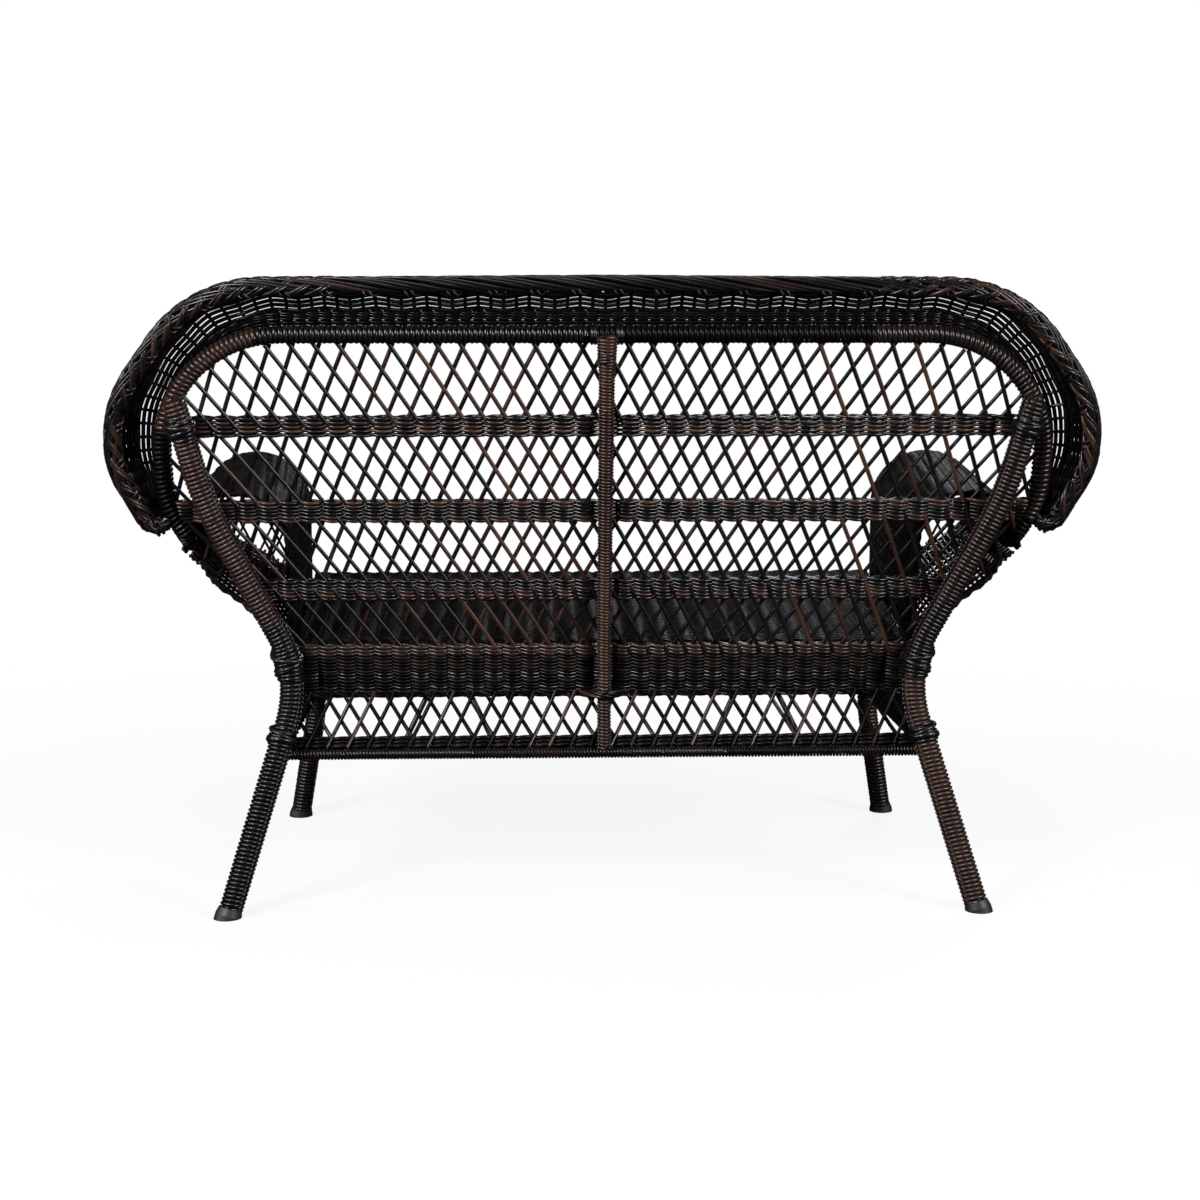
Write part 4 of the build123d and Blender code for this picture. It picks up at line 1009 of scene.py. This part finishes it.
def outer_row(reach, share):
    """A close row of the collar's ends, which comes in from the rim on its way down."""
    return collar(reach, 1.0 - (1.0 - share) * drift(reach))


def open_row(reach, share):
    """A row near the rim over the top, which moves in to the bow on its way down."""
    return collar(reach, share - 0.38 * drift(reach))


stake_pitch, collar_strand, open_strand, row_step = 0.0174, 0.0025, 0.0029, 0.0058
close_shares, open_shares = (0.05, 0.13, 0.21, 0.29, 0.37, 0.43), (0.50, 0.61, 0.72, 0.83, 0.94)
outer_shares, outer_length = (0.62, 0.70, 0.78, 0.86, 0.94, 0.99), 0.40
draw = random.Random(161)
close_rows, open_rows = [], []
collar_start, collar_stop = 0.014, bow_rail.length - 0.014
for share in close_shares:
    close_rows += twine(bow_row, collar_start, collar_stop, share, stake_pitch, 0.0024, row_step, draw,
                        slant=0.0)
for share in outer_shares:
    for start, stop in ((collar_start, outer_length), (bow_rail.length - outer_length, collar_stop)):
        close_rows += twine(outer_row, start, stop, share, stake_pitch, 0.0024, row_step, draw, slant=0.0)
for share in open_shares:
    open_rows += twine(open_row, collar_start, collar_stop, share, 2 * stake_pitch, 0.0026, row_step, draw,
                       twins=(0.5 * pi,), slant=0.0)
stakes = [collar_stake(k * stake_pitch) for k in range(1, int(bow_rail.length / stake_pitch))]
stakes += [collar_stake(end + cord) for end in (collar_start, collar_stop) for cord in (-0.004, 0.0, 0.004)]
# The close rows and stakes are drawn only in black and dull black: painted shade for the dark hollow of the
# rolled collar.
piece = strands("collar_weave", close_rows + stakes, collar_strand, (0.40, 0.08, 0.0, 0.0, 0.0, 0.52), 162)
fasten(piece, "close_weave", "collar")
piece = strands("collar_weave_edge", open_rows, open_strand, (0.45, 0.30, 0.17, 0.08), 163)
fasten(piece, "close_weave")

# Rims: the ends of the stakes are laid along the edge as a rolled braid, in flat groups that go
# slowly round it. Brown pairs cross them down the sides, hooks lock them at every other stake,
# and small loops line the inner side. The arms' fronts have a thinner braid of the same kind.


def braid(rail, radius, strand, cords, spacing, lay, seed, way=1.0, reaches=((0.0, 1.0),)):
    """Groups of strand laid along an edge, each once round it, that bulge and then tuck in."""
    draw = random.Random(seed)
    routes = []
    for k in range(int((rail.length + lay) / spacing)):
        for cord in range(cords):
            start = k * spacing - lay + cord * 2.1 * strand * lay / (2.0 * pi * radius)
            points = []
            for i in range(25):
                reach = start + lay * i / 24
                if any(low <= reach / rail.length <= high for low, high in reaches):
                    tuck = 0.0042 * (1.0 - sin(pi * i / 24) ** 0.6)
                    out = radius - strand - tuck + draw.uniform(-0.0002, 0.0002)
                    points.append(rail.at(reach, out, way * (2.0 * pi * i / 24 + 0.35 * pi)))
            if len(points) > 2:
                routes.append(points)
    return routes


rim_rail = Rail(rim_line, rearward)
rim_strand, loop_strand, loop_pitch = 0.0027, 0.0019, 0.0116
rim_groups = braid(rim_rail, rim_radius + 0.001, rim_strand, 3, 3 * stake_pitch, 0.200, 171)
rim_crossed = braid(rim_rail, rim_radius + 0.0028, rim_strand, 2, stake_pitch, 0.075, 175, way=-1.0,
                    reaches=((0.02, 0.31), (0.69, 0.98)))
hooks, loops = [], []
for k in range(int(rim_rail.length / (2 * stake_pitch))):
    for cord in (0, 1):
        start = (2 * k + 0.5) * stake_pitch + cord * 0.0056
        hooks.append([rim_rail.at(start + 0.007 * i / 6, rim_radius + 0.0020 - 0.004 * (i / 6 - 0.5) ** 2 * 4,
                                  (0.02 + 0.34 * i / 6) * pi) for i in range(7)])
for k in range(int(rim_rail.length / loop_pitch)):
    loops.append([rim_rail.at((k + 0.5) * loop_pitch + 0.0042 * sin(2 * pi * i / 10), rim_radius - 0.0004,
                              (0.46 + 0.09 * cos(2 * pi * i / 10)) * pi) for i in range(11)])
# Each end is closed by a flat spiral of the same strand.
caps = []
for tip, inward in ((0.0, 1.0), (rim_rail.length, -1.0)):
    caps.append([rim_rail.at(tip + inward * (0.002 + 0.010 * i / 60),
                             (rim_radius + 0.0006) * sqrt(0.08 + 0.92 * i / 60), 2 * pi * i / 16)
                 for i in range(61)])
rim_routes = [even(rim_line, 0.02)] + rim_groups + caps + hooks
rim_widths = [(rim_radius - 0.0045) / rim_strand] + [1.0] * len(rim_groups + caps) + [0.75] * len(hooks)
piece = strands("collar_rim_braid", rim_routes, rim_strand, (0.44, 0.30, 0.21, 0.05), 172, widths=rim_widths)
fasten(piece, "braid", "collar_rim")
piece = strands("collar_rim_crossings", rim_crossed, rim_strand, (0.16, 0.22, 0.30, 0.26, 0.06), 177)
fasten(piece, "braid")
piece = strands("collar_rim_loops", loops, loop_strand, (0.0, 0.1, 0.3, 0.4, 0.2), 176)
fasten(piece, "braid")
arm_rim_radius, arm_rim_strand = 0.008, 0.0022
arm_rim_line = [point + rear_way * (panel_y - 0.0108) for point in teardrop(arm_rim_radius, 0.005)]
arm_rim_rail = Rail(arm_rim_line, -rear_way)
arm_rim_groups = braid(arm_rim_rail, arm_rim_radius, arm_rim_strand, 2, 0.0155, 0.070, 173)
arm_rim_routes = [even(arm_rim_line, 0.015)] + arm_rim_groups
arm_rim_widths = [(arm_rim_radius - 0.0035) / arm_rim_strand] + [1.0] * len(arm_rim_groups)
for hand, sign in hands:
    piece = strands(f"arm_front_rim_braid_{hand}", handed(arm_rim_routes, sign), arm_rim_strand, mixed_shares,
                    174, widths=arm_rim_widths)
    fasten(piece, "braid", f"arm_front_rim_{hand}")
